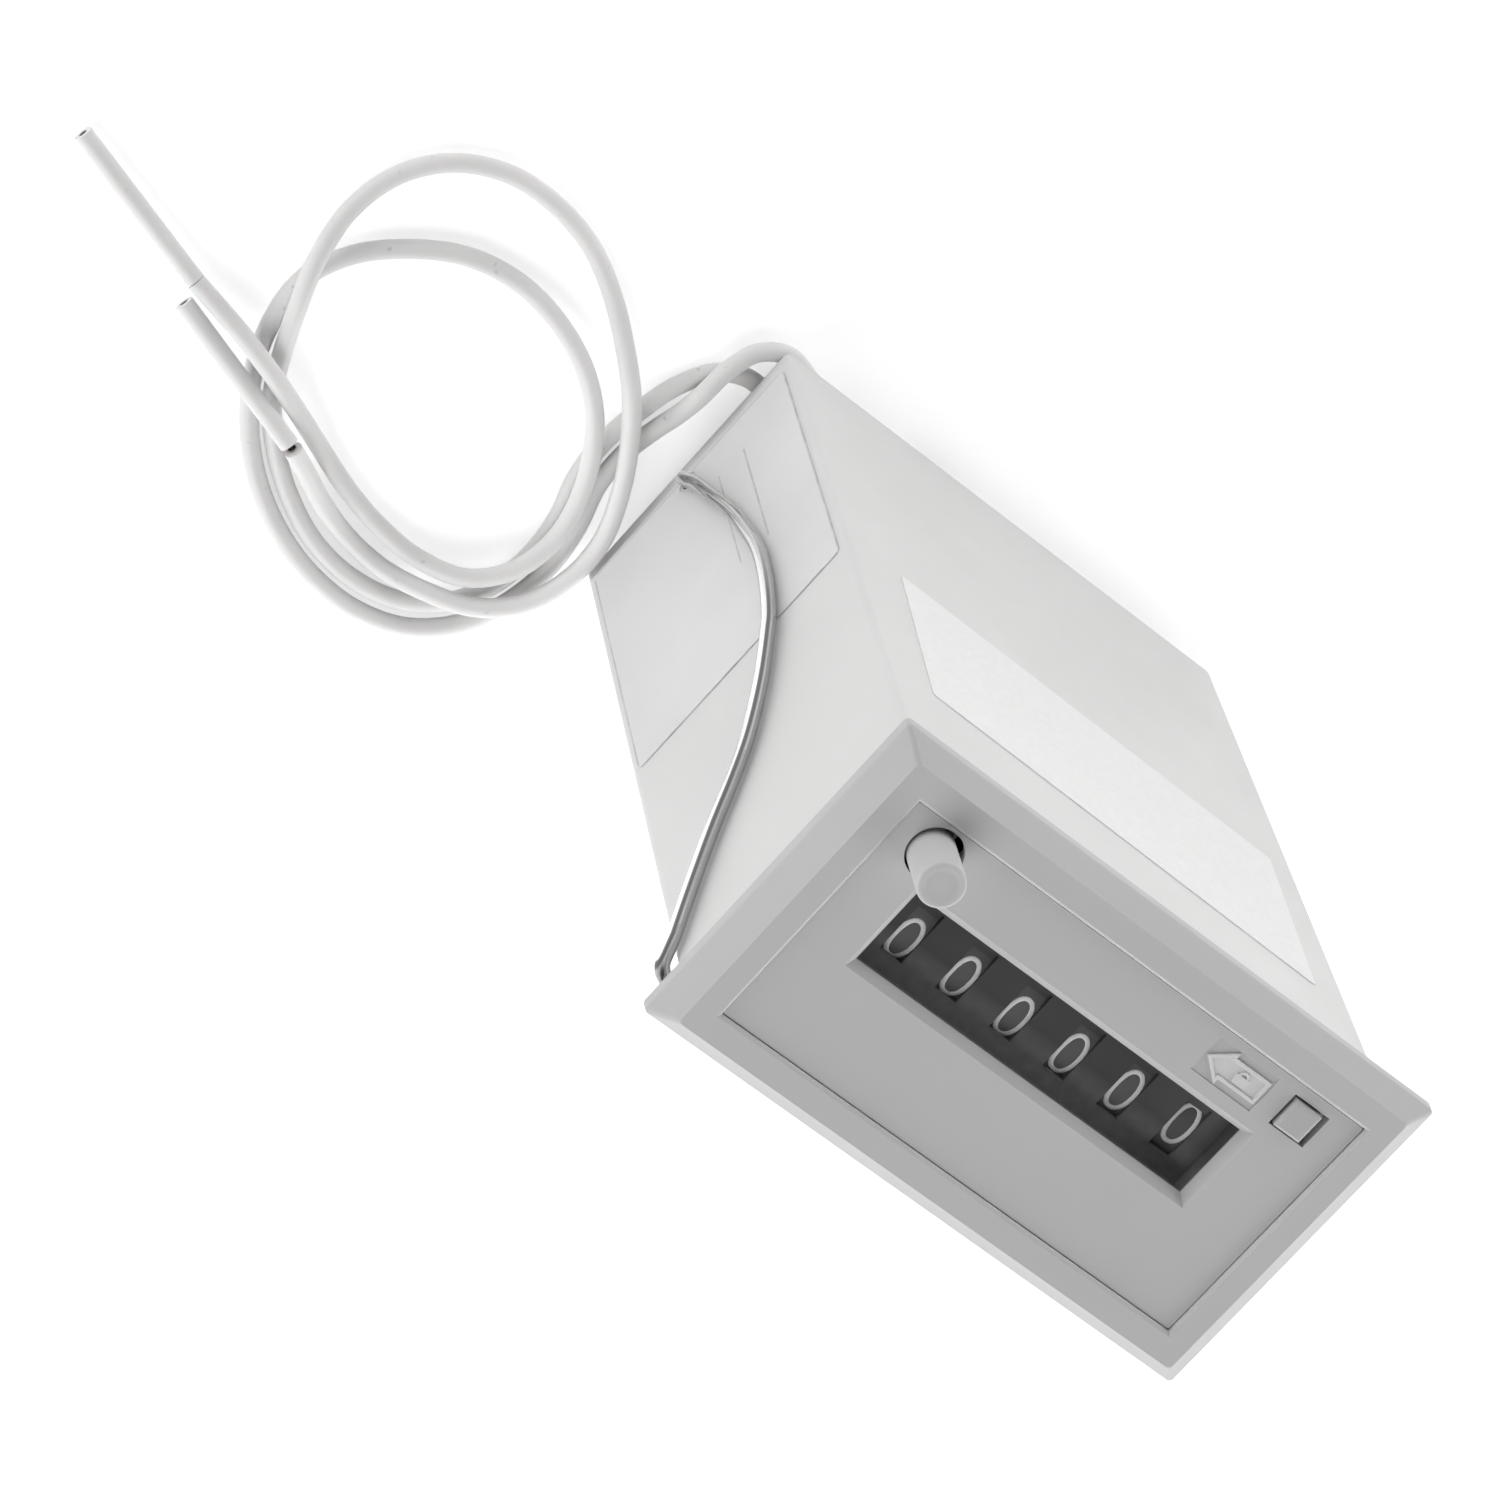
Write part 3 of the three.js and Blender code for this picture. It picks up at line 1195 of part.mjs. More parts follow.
// Pallet lever: a fork round the pinion shaft, with a pallet on each side of the ratchet wheel
function palletLever(foot) {
  const swing = (AXLE_Z - HINGE_Z) * Math.sin((ARMATURE_SWING_DEG * Math.PI) / 180);
  const near = AXLE_Y - RATCHET_TIP - PALLET_CLEARANCE;
  const far = AXLE_Y + RATCHET_TIP + PALLET_CLEARANCE + swing;
  const barTop = (foot + PINION_Z + LEVER_BAR) / 2;
  const top = AXLE_Z + LEVER_TOP_RISE;
  const palletLow = AXLE_Z - LEVER_TOP_RISE / 2;
  const outline = [
    [AXLE_Y - LEVER_STEM_WIDTH / 2, foot],
    [AXLE_Y + LEVER_STEM_WIDTH / 2, foot],
    [AXLE_Y + LEVER_STEM_WIDTH / 2, barTop - LEVER_BAR],
    [far + PALLET_REACH + LEVER_ARM_WIDTH, barTop - LEVER_BAR],
    [far + PALLET_REACH + LEVER_ARM_WIDTH, top],
    [far + PALLET_REACH, top],
    [far, AXLE_Z],
    [far + PALLET_REACH, palletLow],
    [far + PALLET_REACH, barTop],
    [near - PALLET_REACH, barTop],
    [near - PALLET_REACH, palletLow],
    [near, AXLE_Z],
    [near - PALLET_REACH, top],
    [near - PALLET_REACH - LEVER_ARM_WIDTH, top],
    [near - PALLET_REACH - LEVER_ARM_WIDTH, barTop - LEVER_BAR],
    [AXLE_Y - LEVER_STEM_WIDTH / 2, barTop - LEVER_BAR],
  ];
  place("pallet_lever", prismX(outline, RATCHET_LEFT, RATCHET_LEFT + RATCHET_WIDTH), "nylon");
}

// Rear cover in the sleeve: plate, rim to stand on, screw seats and a hole for the clamp's spigot
const CLAMP_TOP_Y = LEAD_1_EXIT_Y + CLAMP_WALL;
const CLAMP_LOW_Y = LEAD_2_EXIT_Y - CLAMP_WALL;
const SPIGOT_X = CLAMP_X + CLAMP_WIDTH / 2;
const SPIGOT_Y = (CLAMP_TOP_Y + CLAMP_LOW_Y) / 2;
const COVER_WIDTH = 2 * (INSIDE_X - COVER_GAP);
const COVER_HEIGHT = 2 * (INSIDE_Y - COVER_GAP);

function rearCover() {
  const plate = slab(COVER_WIDTH, COVER_HEIGHT, CASE_CORNER, REAR_STANDOFF, COVER_TOP);
  const ring = slab(
    COVER_WIDTH - 2 * RIM_INSET,
    COVER_HEIGHT - 2 * RIM_INSET,
    CASE_CORNER,
    0,
    REAR_STANDOFF,
  );
  const inside = slab(
    COVER_WIDTH - 2 * RIM_INSET - 2 * RIM_WALL,
    COVER_HEIGHT - 2 * RIM_INSET - 2 * RIM_WALL,
    CASE_CORNER,
    -OVERRUN,
    REAR_STANDOFF,
  );
  const outlet = box(-COVER_WIDTH, OUTLET_X, OUTLET_Y, COVER_HEIGHT, -OVERRUN, REAR_STANDOFF);
  const spigotHole = box(
    SPIGOT_X - SPIGOT_WIDTH / 2 - FIT_GAP,
    SPIGOT_X + SPIGOT_WIDTH / 2 + FIT_GAP,
    SPIGOT_Y - SPIGOT_WIDTH / 2 - FIT_GAP,
    SPIGOT_Y + SPIGOT_WIDTH / 2 + FIT_GAP,
    REAR_STANDOFF - OVERRUN,
    COVER_TOP + OVERRUN,
  );
  let cover = plate.add(ring.subtract(inside).subtract(outlet)).subtract(spigotHole);
  for (const side of [-1, 1]) {
    const x = (side * SCREW_SPACING) / 2;
    const seat = barZ(
      hole(SCREW_HEAD, FIT_GAP),
      REAR_STANDOFF - OVERRUN,
      REAR_STANDOFF + SCREW_SINK,
      x,
      SCREW_Y,
    );
    const shank = barZ(hole(SCREW_RADIUS, FIT_GAP), REAR_STANDOFF, COVER_TOP + OVERRUN, x, SCREW_Y);
    cover = cover.subtract(seat).subtract(shank);
    coverScrew(side < 0 ? 1 : 2, x);
  }
  place("rear_cover", cover, "ivory");
}

function coverScrew(number, x) {
  const seat = REAR_STANDOFF + SCREW_SINK;
  const head = barZ(SCREW_HEAD, seat - SCREW_HEAD_HEIGHT, seat, x, SCREW_Y);
  const shank = barZ(SCREW_RADIUS, seat, COVER_TOP + 2 * FIT_GAP + SHEET, x, SCREW_Y);
  const slot = box(
    x - SCREW_HEAD,
    x + SCREW_HEAD,
    SCREW_Y - DRIVE_SLOT / 2,
    SCREW_Y + DRIVE_SLOT / 2,
    seat - SCREW_HEAD_HEIGHT - OVERRUN,
    seat - SCREW_HEAD_HEIGHT + DRIVE_DEPTH,
  );
  place("cover_screw_" + number, head.add(shank).subtract(slot), "zinc");
}

// Lead clamp under the cover, with its spigot through it
function leadClamp() {
  const block = box(
    CLAMP_X,
    CLAMP_X + CLAMP_WIDTH,
    CLAMP_LOW_Y,
    CLAMP_TOP_Y,
    CLAMP_BOTTOM,
    REAR_STANDOFF,
  );
  const spigot = box(
    SPIGOT_X - SPIGOT_WIDTH / 2,
    SPIGOT_X + SPIGOT_WIDTH / 2,
    SPIGOT_Y - SPIGOT_WIDTH / 2,
    SPIGOT_Y + SPIGOT_WIDTH / 2,
    CLAMP_BOTTOM,
    COVER_TOP + SPIGOT_RISE,
  );
  place("lead_clamp", block.add(spigot), "nylon");
}

// Coil tails from the clamp's spigot to the two terminals
const TAIL_STEPS = 14;
const TAIL_BEND = 4;

function coilTail(number, side) {
  const startX = SPIGOT_X + (side * SPIGOT_WIDTH) / 4;
  const start = new THREE.Vector3(startX, SPIGOT_Y, COVER_TOP + SPIGOT_RISE + SEAT_GAP);
  const end = new THREE.Vector3(
    TERMINAL_X,
    COIL_Y + (side * TERMINAL_SPACING) / 2,
    YOKE_TOP - TERMINAL_DROP - SEAT_GAP,
  );
  const curve = new THREE.CubicBezierCurve3(
    start,
    start.clone().add(new THREE.Vector3(0, 0, TAIL_BEND)),
    end.clone().sub(new THREE.Vector3(0, 0, TAIL_BEND)),
    end,
  );
  place("coil_tail_" + number, tube(curve, TAIL_RADIUS, LEAD_SIDES, TAIL_STEPS), "insulation");
}

// Routes of the two leads on the floor, from the clamp to where the insulation is cut
const ROUTES_EXIT_Y = 12.2; // the upper lead's exit in these lists, which move with the real one
const LEAD_1_ROUTE = [
  [CLAMP_X - SEAT_GAP, ROUTES_EXIT_Y, LEAD_EXIT_Z],
  [-21.0, 12.8, 1.35],
  [-24.6, 14.2, 1.35],
  [-28.0, 14.9, 1.4],
  [-31.0, 13.4, 2.0],
  [-32.5, 10.2, 3.0],
  [-32.9, 6.8, 3.4],
  [-33.0, 3.6, 2.3],
  [-33.4, 0.5, 1.25],
  [-34.0, -3.0, 1.05],
  [-33.9, -7.5, 1.05],
  [-32.5, -12.5, 1.05],
  [-31.9, -17.5, 1.05],
  [-32.6, -22.5, 1.05],
  [-34.6, -27.2, 1.05],
  [-38.8, -31.2, 1.05],
  [-44.0, -32.9, 1.05],
  [-49.5, -32.8, 1.05],
  [-55.0, -31.3, 1.05],
  [-60.5, -28.3, 1.05],
  [-65.0, -24.3, 1.05],
  [-68.6, -19.3, 1.05],
  [-70.6, -14.0, 1.05],
  [-71.0, -8.5, 1.05],
  [-68.8, -3.6, 1.05],
  [-64.8, 0.3, 1.05],
  [-59.8, 3.2, 1.05],
  [-54.2, 4.2, 1.1],
  [-49.0, 3.7, 1.9],
  [-44.3, 2.0, 3.0],
  [-40.6, -0.7, 3.5],
  [-37.6, -4.4, 3.5],
  [-35.3, -9.0, 3.4],
  [-34.3, -14.0, 3.4],
  [-35.3, -19.0, 3.5],
  [-38.6, -22.9, 3.1],
  [-43.3, -24.6, 1.7],
  [-48.5, -24.4, 1.1],
  [-53.5, -23.2, 1.1],
  [-58.5, -21.3, 1.5],
  [-63.2, -19.3, 2.7],
  [-67.8, -17.5, 3.7],
  [-72.5, -16.2, 3.4],
  [-76.3, -15.5, 2.6],
  [-79.3, -15.0, 2.0],
];
const LEAD_2_ROUTE = [
  [CLAMP_X - SEAT_GAP, ROUTES_EXIT_Y - LEAD_PITCH, LEAD_EXIT_Z],
  [-22.0, 9.7, 1.35],
  [-26.0, 10.2, 1.3],
  [-29.6, 10.5, 1.1],
  [-32.6, 8.9, 1.05],
  [-34.8, 5.2, 1.05],
  [-35.9, 0.8, 1.05],
  [-36.5, -3.8, 1.05],
  [-36.1, -8.4, 1.05],
  [-34.7, -13.0, 1.05],
  [-34.3, -17.8, 1.05],
  [-35.2, -22.6, 1.05],
  [-37.6, -26.8, 1.05],
  [-41.8, -29.6, 1.05],
  [-46.8, -30.5, 1.05],
  [-52.0, -29.8, 1.05],
  [-57.2, -27.5, 1.05],
  [-62.0, -24.0, 1.05],
  [-65.6, -19.9, 1.05],
  [-68.0, -15.3, 1.6],
  [-70.3, -10.4, 3.2],
  [-72.1, -4.9, 3.3],
  [-72.3, 0.3, 2.0],
  [-70.7, 5.6, 1.2],
  [-67.3, 9.8, 1.05],
  [-62.3, 12.3, 1.05],
  [-56.5, 12.7, 1.05],
  [-51.0, 11.5, 1.05],
  [-46.2, 9.0, 1.5],
  [-42.2, 6.0, 2.6],
  [-38.5, 2.6, 3.6],
  [-35.2, -1.6, 3.8],
  [-32.4, -6.4, 3.9],
  [-30.6, -11.4, 3.9],
  [-30.6, -16.4, 3.9],
  [-32.3, -21.2, 3.8],
  [-36.0, -24.7, 3.6],
  [-40.3, -26.5, 2.8],
  [-45.0, -27.7, 1.4],
  [-50.0, -27.3, 1.1],
  [-54.8, -25.6, 1.9],
  [-58.6, -23.6, 3.3],
  [-61.3, -22.3, 4.3],
];
const LEAD_1_END = [-97.3, -10.0, 1.05];
const LEAD_2_END = [-78.9, -17.4, 2.1];
const LEAD_STEP = 4.6;
const CHECK_STEP = 0.5;
const CHECK_APART = 8;

// How near the cord's surface comes to itself, away from its own neighbourhood.
function leastGap(name, curve, radius) {
  const count = Math.round(curve.getLength() / CHECK_STEP);
  const points = curve.getSpacedPoints(count);
  let least = Infinity;
  for (let i = 0; i < points.length; i += 1) {
    for (let j = i + Math.round(CHECK_APART / CHECK_STEP); j < points.length; j += 1) {
      least = Math.min(least, points[i].distanceTo(points[j]));
    }
  }
  const gap = (least - 2 * radius).toFixed(2);
  console.log(name + ": length " + curve.getLength().toFixed(1) + ", least gap " + gap);
}

// A lead: the insulated wire, the bare core past its cut, and the slug of insulation left on the core
function lead(number, route, endPoint, cut) {
  const rise = LEAD_1_EXIT_Y - ROUTES_EXIT_Y;
  const points = route.map(([x, y, z]) => new THREE.Vector3(x, y + rise, z));
  const curve = new THREE.CatmullRomCurve3(points);
  const steps = Math.round(curve.getLength() / LEAD_STEP);
  leastGap("lead_wire_" + number, curve, LEAD_RADIUS);
  place("lead_wire_" + number, tube(curve, LEAD_RADIUS, LEAD_SIDES, steps), "insulation");
  const start = curve.getPoint(1);
  const [endX, endY, endZ] = endPoint;
  const end = new THREE.Vector3(endX, endY + rise, endZ);
  const along = end.clone().sub(start).normalize();
  const from = start.clone().addScaledVector(along, cut);
  const slugLine = new THREE.LineCurve3(from, end);
  const boreLine = new THREE.LineCurve3(
    from.clone().addScaledVector(along, -OVERRUN),
    end.clone().addScaledVector(along, OVERRUN),
  );
  const slug = solid(tube(slugLine, LEAD_RADIUS, LEAD_SIDES, 1));
  const bore = solid(tube(boreLine, SLUG_BORE, LEAD_SIDES, 1));
  place("lead_slug_" + number, slug.subtract(bore), "insulation");
  const core = new THREE.LineCurve3(
    start.clone().addScaledVector(along, CORE_GAP),
    end.clone().addScaledVector(along, -CORE_GAP),
  );
  place("lead_core_" + number, tube(core, CORE_WIRE_RADIUS, LEAD_SIDES, 1), "zinc");
}

// Mounting bail: the left arm's bow as shares of its width and reach, mirrored for the right arm
const BAIL_BOW_SHARES = [
  [0, 0.014],
  [0.075, 0.043],
  [0.16, 0.108],
  [0.263, 0.188],
  [0.341, 0.277],
  [0.389, 0.355],
  [0.385, 0.437],
  [0.335, 0.527],
  [0.293, 0.56],
  [0.156, 0.647],
  [-0.03, 0.73],
  [-0.191, 0.778],
  [-0.395, 0.83],
  [-0.676, 0.913],
  [-0.83, 0.962],
];

// The arc from one straight part of the bail to the next.
function bend(points, corner, towards, radius) {
  const from = points[points.length - 1];
  const back = from.clone().sub(corner).normalize();
  const ahead = towards.clone().sub(corner).normalize();
  const arc = new THREE.QuadraticBezierCurve3(
    corner.clone().addScaledVector(back, radius),
    corner,
    corner.clone().addScaledVector(ahead, radius),
  );
  points.push(...arc.getPoints(BEND_STEPS));
}

function mountingBail() {
  const hingeZ = REAR_STANDOFF + BAIL_HINGE_Z;
  const armX = CASE_LEFT - BAIL_FACE_GAP - BAIL_RADIUS;
  const barY = BAIL_HINGE_Y - BAIL_BOW_WIDTH;
  const barZPlace = hingeZ + BAIL_REACH;
  const bow = new THREE.CatmullRomCurve3(
    BAIL_BOW_SHARES.map(
      ([across, along]) =>
        new THREE.Vector3(armX, BAIL_HINGE_Y + across * BAIL_BOW_WIDTH, hingeZ + along * BAIL_REACH),
    ),
  ).getPoints(BOW_STEPS);
  const half = [new THREE.Vector3(-INSIDE_X + BAIL_HOOK, BAIL_HINGE_Y, hingeZ)];
  bend(half, new THREE.Vector3(armX, BAIL_HINGE_Y, hingeZ), bow[1], BAIL_HOOK_BEND);
  half.push(...bow.slice(1));
  bend(half, new THREE.Vector3(armX, barY, barZPlace), new THREE.Vector3(0, barY, barZPlace), BAIL_BEND);
  const other = half.map((point) => new THREE.Vector3(-point.x, point.y, point.z)).reverse();
  place("mounting_bail", bentBar([...half, ...other], BAIL_RADIUS, LEAD_SIDES), "steel");
}

// Labels on the left side and on the top
function labels() {
  const hingeZ = REAR_STANDOFF + BAIL_HINGE_Z;
  const side = box(
    CASE_LEFT - LABEL_THICKNESS,
    CASE_LEFT,
    -CASE_TOP + SIDE_LABEL_MARGIN,
    CASE_TOP - SIDE_LABEL_MARGIN,
    REAR_STANDOFF + SIDE_LABEL_INSET,
    REAR_STANDOFF + SIDE_LABEL_INSET + SIDE_LABEL_LENGTH,
  );
  const clear = barX(
    2 * BAIL_RADIUS,
    CASE_LEFT - OVERRUN,
    CASE_LEFT + OVERRUN,
    BAIL_HINGE_Y,
    hingeZ,
    SMALL_SIDES,
  );
  place("side_label", side.subtract(clear), "film");
  const width = CASE_WIDTH - 2 * TOP_LABEL_MARGIN;
  const top = new THREE.BoxGeometry(width, LABEL_THICKNESS, TOP_LABEL_LENGTH);
  const sticker = place("top_label", top, "paper");
  sticker.position.set(TOP_LABEL_X, CASE_TOP + LABEL_THICKNESS / 2, BEZEL_BACK - TOP_LABEL_INSET);
  sticker.rotation.y = (TOP_LABEL_TURN_DEG * Math.PI) / 180;
}

caseSleeve();
bezel();
facePanel();
windowMask();
lockSlider();
resetButton();
chassis();
WHEEL_NAMES.forEach((name, index) => numberWheel(index));
for (let index = 0; index < LAST_WHEEL; index += 1) {
  transferPinion(index);
}
ratchetWheel();
shafts();
resetComb();
magnetYoke();
coil();
armature();
rearCover();
leadClamp();
coilTail(1, 1);
coilTail(2, -1);
lead(1, LEAD_1_ROUTE, LEAD_1_END, LEAD_1_CUT);
lead(2, LEAD_2_ROUTE, LEAD_2_END, LEAD_2_CUT);
mountingBail();
labels();

export default counter;
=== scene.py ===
# %% [markdown]
# # A six-digit pulse counter, dressed for the camera
#
# The counter is a small panel instrument: a moulded sleeve with a chamfered front frame, number
# wheels behind a window, a reset button, a lock slider, a spring-wire bail and two thin leads.
# Its solid parts arrive from CAD in metres, with +X along the digits, +Y up them and +Z out of the
# front. Here each visible surface is modelled again with softer edges and finer detail, or keeps its
# CAD mesh and gets a better finish. The box of the CAD model is kept and printed, and the box of the
# dressed scene is printed at the end.

# %% Load the frame
import math
import bmesh
import bpy
from mathutils import Matrix, Vector


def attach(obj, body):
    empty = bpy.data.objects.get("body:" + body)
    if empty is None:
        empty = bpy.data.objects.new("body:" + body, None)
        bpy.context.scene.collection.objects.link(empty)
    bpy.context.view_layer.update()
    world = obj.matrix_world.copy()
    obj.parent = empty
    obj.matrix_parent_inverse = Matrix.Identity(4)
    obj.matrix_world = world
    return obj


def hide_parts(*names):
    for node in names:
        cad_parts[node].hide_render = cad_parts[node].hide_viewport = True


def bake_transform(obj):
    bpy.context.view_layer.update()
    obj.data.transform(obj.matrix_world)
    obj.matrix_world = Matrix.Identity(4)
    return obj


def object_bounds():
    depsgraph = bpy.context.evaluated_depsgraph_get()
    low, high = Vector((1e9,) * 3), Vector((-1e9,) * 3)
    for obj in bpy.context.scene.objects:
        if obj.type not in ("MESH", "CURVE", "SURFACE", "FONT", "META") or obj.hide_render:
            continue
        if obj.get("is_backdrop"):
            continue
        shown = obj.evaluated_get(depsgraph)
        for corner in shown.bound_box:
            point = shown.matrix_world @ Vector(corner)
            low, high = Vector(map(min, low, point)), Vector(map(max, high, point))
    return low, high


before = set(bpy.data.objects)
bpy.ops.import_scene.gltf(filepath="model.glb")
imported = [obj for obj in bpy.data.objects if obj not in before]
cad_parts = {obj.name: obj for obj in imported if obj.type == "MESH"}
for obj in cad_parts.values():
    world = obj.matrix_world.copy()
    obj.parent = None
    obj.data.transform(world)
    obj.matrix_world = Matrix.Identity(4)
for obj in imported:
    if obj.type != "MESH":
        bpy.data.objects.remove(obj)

cad_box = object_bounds()
MM = 0.001


def in_mm(points):
    """Points in metres as rounded numbers of mm, to be printed."""
    return [[round(value / MM, 2) for value in point] for point in points]


print("CAD box in mm:", in_mm(cad_box))

# %% [markdown]
# ## The camera
#
# The picture shows the counter from above its left front corner through a long lens, so the lines
# that run away from the eye hardly converge. The place and the turn of the camera could be tried
# by eye; here they were worked out from the corners of the frame, and are written as the three
# directions of the camera's own axes, which leaves no doubt about the order of rotations.

# %% Camera
camera_right = (0.748831, 0.651988, 0.119006)
camera_up = (-0.547233, 0.709547, -0.443936)
camera_back = (-0.373882, 0.267309, 0.888121)
camera_place = (-0.260814, 0.164266, 0.614883)
camera_data = bpy.data.cameras.new("camera")
camera = bpy.data.objects.new("camera", camera_data)
bpy.context.scene.collection.objects.link(camera)
camera_data.sensor_width = 36
camera_data.lens = 162.84
camera_data.clip_start = 0.01
camera_data.clip_end = 10
turned = Matrix((camera_right, camera_up, camera_back)).transposed().to_4x4()
camera.matrix_world = Matrix.Translation(camera_place) @ turned
bpy.context.scene.camera = camera
bpy.context.scene.view_settings.view_transform = "Standard"
print("camera", round(Vector(camera_place).length / MM), "mm from the floor's middle")

# %% [markdown]
# ## The two leads
#
# Two white single-core leads come out of the rear of the case, run along the left side together and
# lie in a loose double loop on the table. A cord is best drawn as what it is, one smooth line with
# a round section. The line passes through the same points as the CAD tube. Between two points it
# follows a centripetal Catmull-Rom curve, which has no cusps, sampled closely enough to look round.

# %% Smooth line through points
def smooth_line(points, steps):
    """Points of a centripetal Catmull-Rom curve, with that many steps between two given points."""
    knots = [Vector(point) for point in points]
    knots = [2 * knots[0] - knots[1]] + knots + [2 * knots[-1] - knots[-2]]
    line = []
    for a, b, c, d in zip(knots, knots[1:], knots[2:], knots[3:]):
        spans = ((a, b), (b, c), (c, d))
        before, here, after = [max((q - p).length ** 0.5, 1e-9) for p, q in spans]
        for step in range(steps):
            t = here * step / steps
            ab = a + (b - a) * (t + before) / before
            bc = b + (c - b) * t / here
            cd = c + (d - c) * (t - here) / after
            left = ab + (bc - ab) * (t + before) / (before + here)
            right = bc + (cd - bc) * t / (here + after)
            line.append(left + (right - left) * t / here)
    line.append(knots[-2])
    return line


def reach(line):
    """The length of a line of points."""
    return sum((b - a).length for a, b in zip(line, line[1:]))


# %% Round bar along a line
def round_bar(name, line, radius, resolution, closed=False):
    """A curve object with a round section that follows a line of points.

    A curve's box grows by the radius of its points, so they carry the thickness and the depth is 1.
    """
    data = bpy.data.curves.new(name, "CURVE")
    data.dimensions = "3D"
    data.bevel_depth = 1
    data.bevel_resolution = resolution
    data.use_fill_caps = True
    spline = data.splines.new("POLY")
    spline.points.add(len(line) - 1)
    for knot, point in zip(spline.points, line):
        knot.co = (*point, 1)
        knot.radius = radius
    spline.use_cyclic_u = closed
    spline.use_smooth = True
    piece = bpy.data.objects.new(name, data)
    bpy.context.scene.collection.objects.link(piece)
    return piece


# %% Routes of the leads
lead_radius = 1 * MM
lead_routes = [
    [
        (-17.3, 12.2, 1.35), (-21, 12.8, 1.35), (-24.6, 14.2, 1.35), (-28, 14.9, 1.4),
        (-31, 13.4, 2), (-32.5, 10.2, 3), (-32.9, 6.8, 3.4), (-33, 3.6, 2.3), (-33.4, 0.5, 1.25),
        (-34, -3, 1.05), (-33.9, -7.5, 1.05), (-32.5, -12.5, 1.05), (-31.9, -17.5, 1.05),
        (-32.6, -22.5, 1.05), (-34.6, -27.2, 1.05), (-38.8, -31.2, 1.05), (-44, -32.9, 1.05),
        (-49.5, -32.8, 1.05), (-55, -31.3, 1.05), (-60.5, -28.3, 1.05), (-65, -24.3, 1.05),
        (-68.6, -19.3, 1.05), (-70.6, -14, 1.05), (-71, -8.5, 1.05), (-68.8, -3.6, 1.05),
        (-64.8, 0.3, 1.05), (-59.8, 3.2, 1.05), (-54.2, 4.2, 1.1), (-49, 3.7, 1.9), (-44.3, 2, 3),
        (-40.6, -0.7, 3.5), (-37.6, -4.4, 3.5), (-35.3, -9, 3.4), (-34.3, -14, 3.4),
        (-35.3, -19, 3.5), (-38.6, -22.9, 3.1), (-43.3, -24.6, 1.7), (-48.5, -24.4, 1.1),
        (-53.5, -23.2, 1.1), (-58.5, -21.3, 1.5), (-63.2, -19.3, 2.7), (-67.8, -17.5, 3.7),
        (-72.5, -16.2, 3.4), (-76.3, -15.5, 2.6), (-79.3, -15, 2),
    ],
    [
        (-17.3, 9.7, 1.35), (-22, 9.7, 1.35), (-26, 10.2, 1.3), (-29.6, 10.5, 1.1),
        (-32.6, 8.9, 1.05), (-34.8, 5.2, 1.05), (-35.9, 0.8, 1.05), (-36.5, -3.8, 1.05),
        (-36.1, -8.4, 1.05), (-34.7, -13, 1.05), (-34.3, -17.8, 1.05), (-35.2, -22.6, 1.05),
        (-37.6, -26.8, 1.05), (-41.8, -29.6, 1.05), (-46.8, -30.5, 1.05), (-52, -29.8, 1.05),
        (-57.2, -27.5, 1.05), (-62, -24, 1.05), (-65.6, -19.9, 1.05), (-68, -15.3, 1.6),
        (-70.3, -10.4, 3.2), (-72.1, -4.9, 3.3), (-72.3, 0.3, 2), (-70.7, 5.6, 1.2),
        (-67.3, 9.8, 1.05), (-62.3, 12.3, 1.05), (-56.5, 12.7, 1.05), (-51, 11.5, 1.05),
        (-46.2, 9, 1.5), (-42.2, 6, 2.6), (-38.5, 2.6, 3.6), (-35.2, -1.6, 3.8),
        (-32.4, -6.4, 3.9), (-30.6, -11.4, 3.9), (-30.6, -16.4, 3.9), (-32.3, -21.2, 3.8),
        (-36, -24.7, 3.6), (-40.3, -26.5, 2.8), (-45, -27.7, 1.4), (-50, -27.3, 1.1),
        (-54.8, -25.6, 1.9), (-58.6, -23.6, 3.3), (-61.3, -22.3, 4.3),
    ],
]
leads, lead_lines = [], []
for number, route in enumerate(lead_routes, start=1):
    line = smooth_line([Vector(point) * MM for point in route], steps=6)
    lead = round_bar(f"lead_{number}", line, lead_radius, resolution=5)
    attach(lead, "housing")
    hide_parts(f"lead_wire_{number}")
    leads.append(lead)
    lead_lines.append(line)
    print(lead.name, "length in mm", round(reach(line) / MM, 1))

# %% [markdown]
# ## Tools for modelling by hand
#
# Every piece below starts from a primitive at its own size and place and is shaped in edit mode. An
# operator works on all that is selected, so each helper first clears the selection. Faces, edges or
# corners are then chosen by where they are, which does not depend on the order they were made in.

# %% Selecting
def select_only(*pieces):
    """Selects these objects, or none at all, and makes the first of them the active one."""
    bpy.ops.object.select_all(action="DESELECT")
    for piece in pieces:
        piece.select_set(True)
    if pieces:
        bpy.context.view_layer.objects.active = pieces[0]


def edit(piece):
    select_only(piece)
    bpy.ops.object.mode_set(mode="EDIT")


def leave():
    bpy.ops.object.mode_set(mode="OBJECT")


def pick_all():
    bpy.ops.mesh.select_all(action="SELECT")


def pick(piece, kind, wanted):
    """In edit mode, selects the faces, edges or corners that a test accepts, and counts them."""
    bpy.ops.mesh.select_mode(type=kind)
    bpy.ops.mesh.select_all(action="DESELECT")
    form = bmesh.from_edit_mesh(piece.data)
    items = {"FACE": form.faces, "EDGE": form.edges, "VERT": form.verts}[kind]
    found = [item for item in items if wanted(item)]
    for item in found:
        item.select_set(True)
    form.select_flush_mode()
    bmesh.update_edit_mesh(piece.data)
    return len(found)


def middle(item):
    """The middle of a face or an edge, in mm."""
    return sum((corner.co for corner in item.verts), Vector()) / len(item.verts) / MM


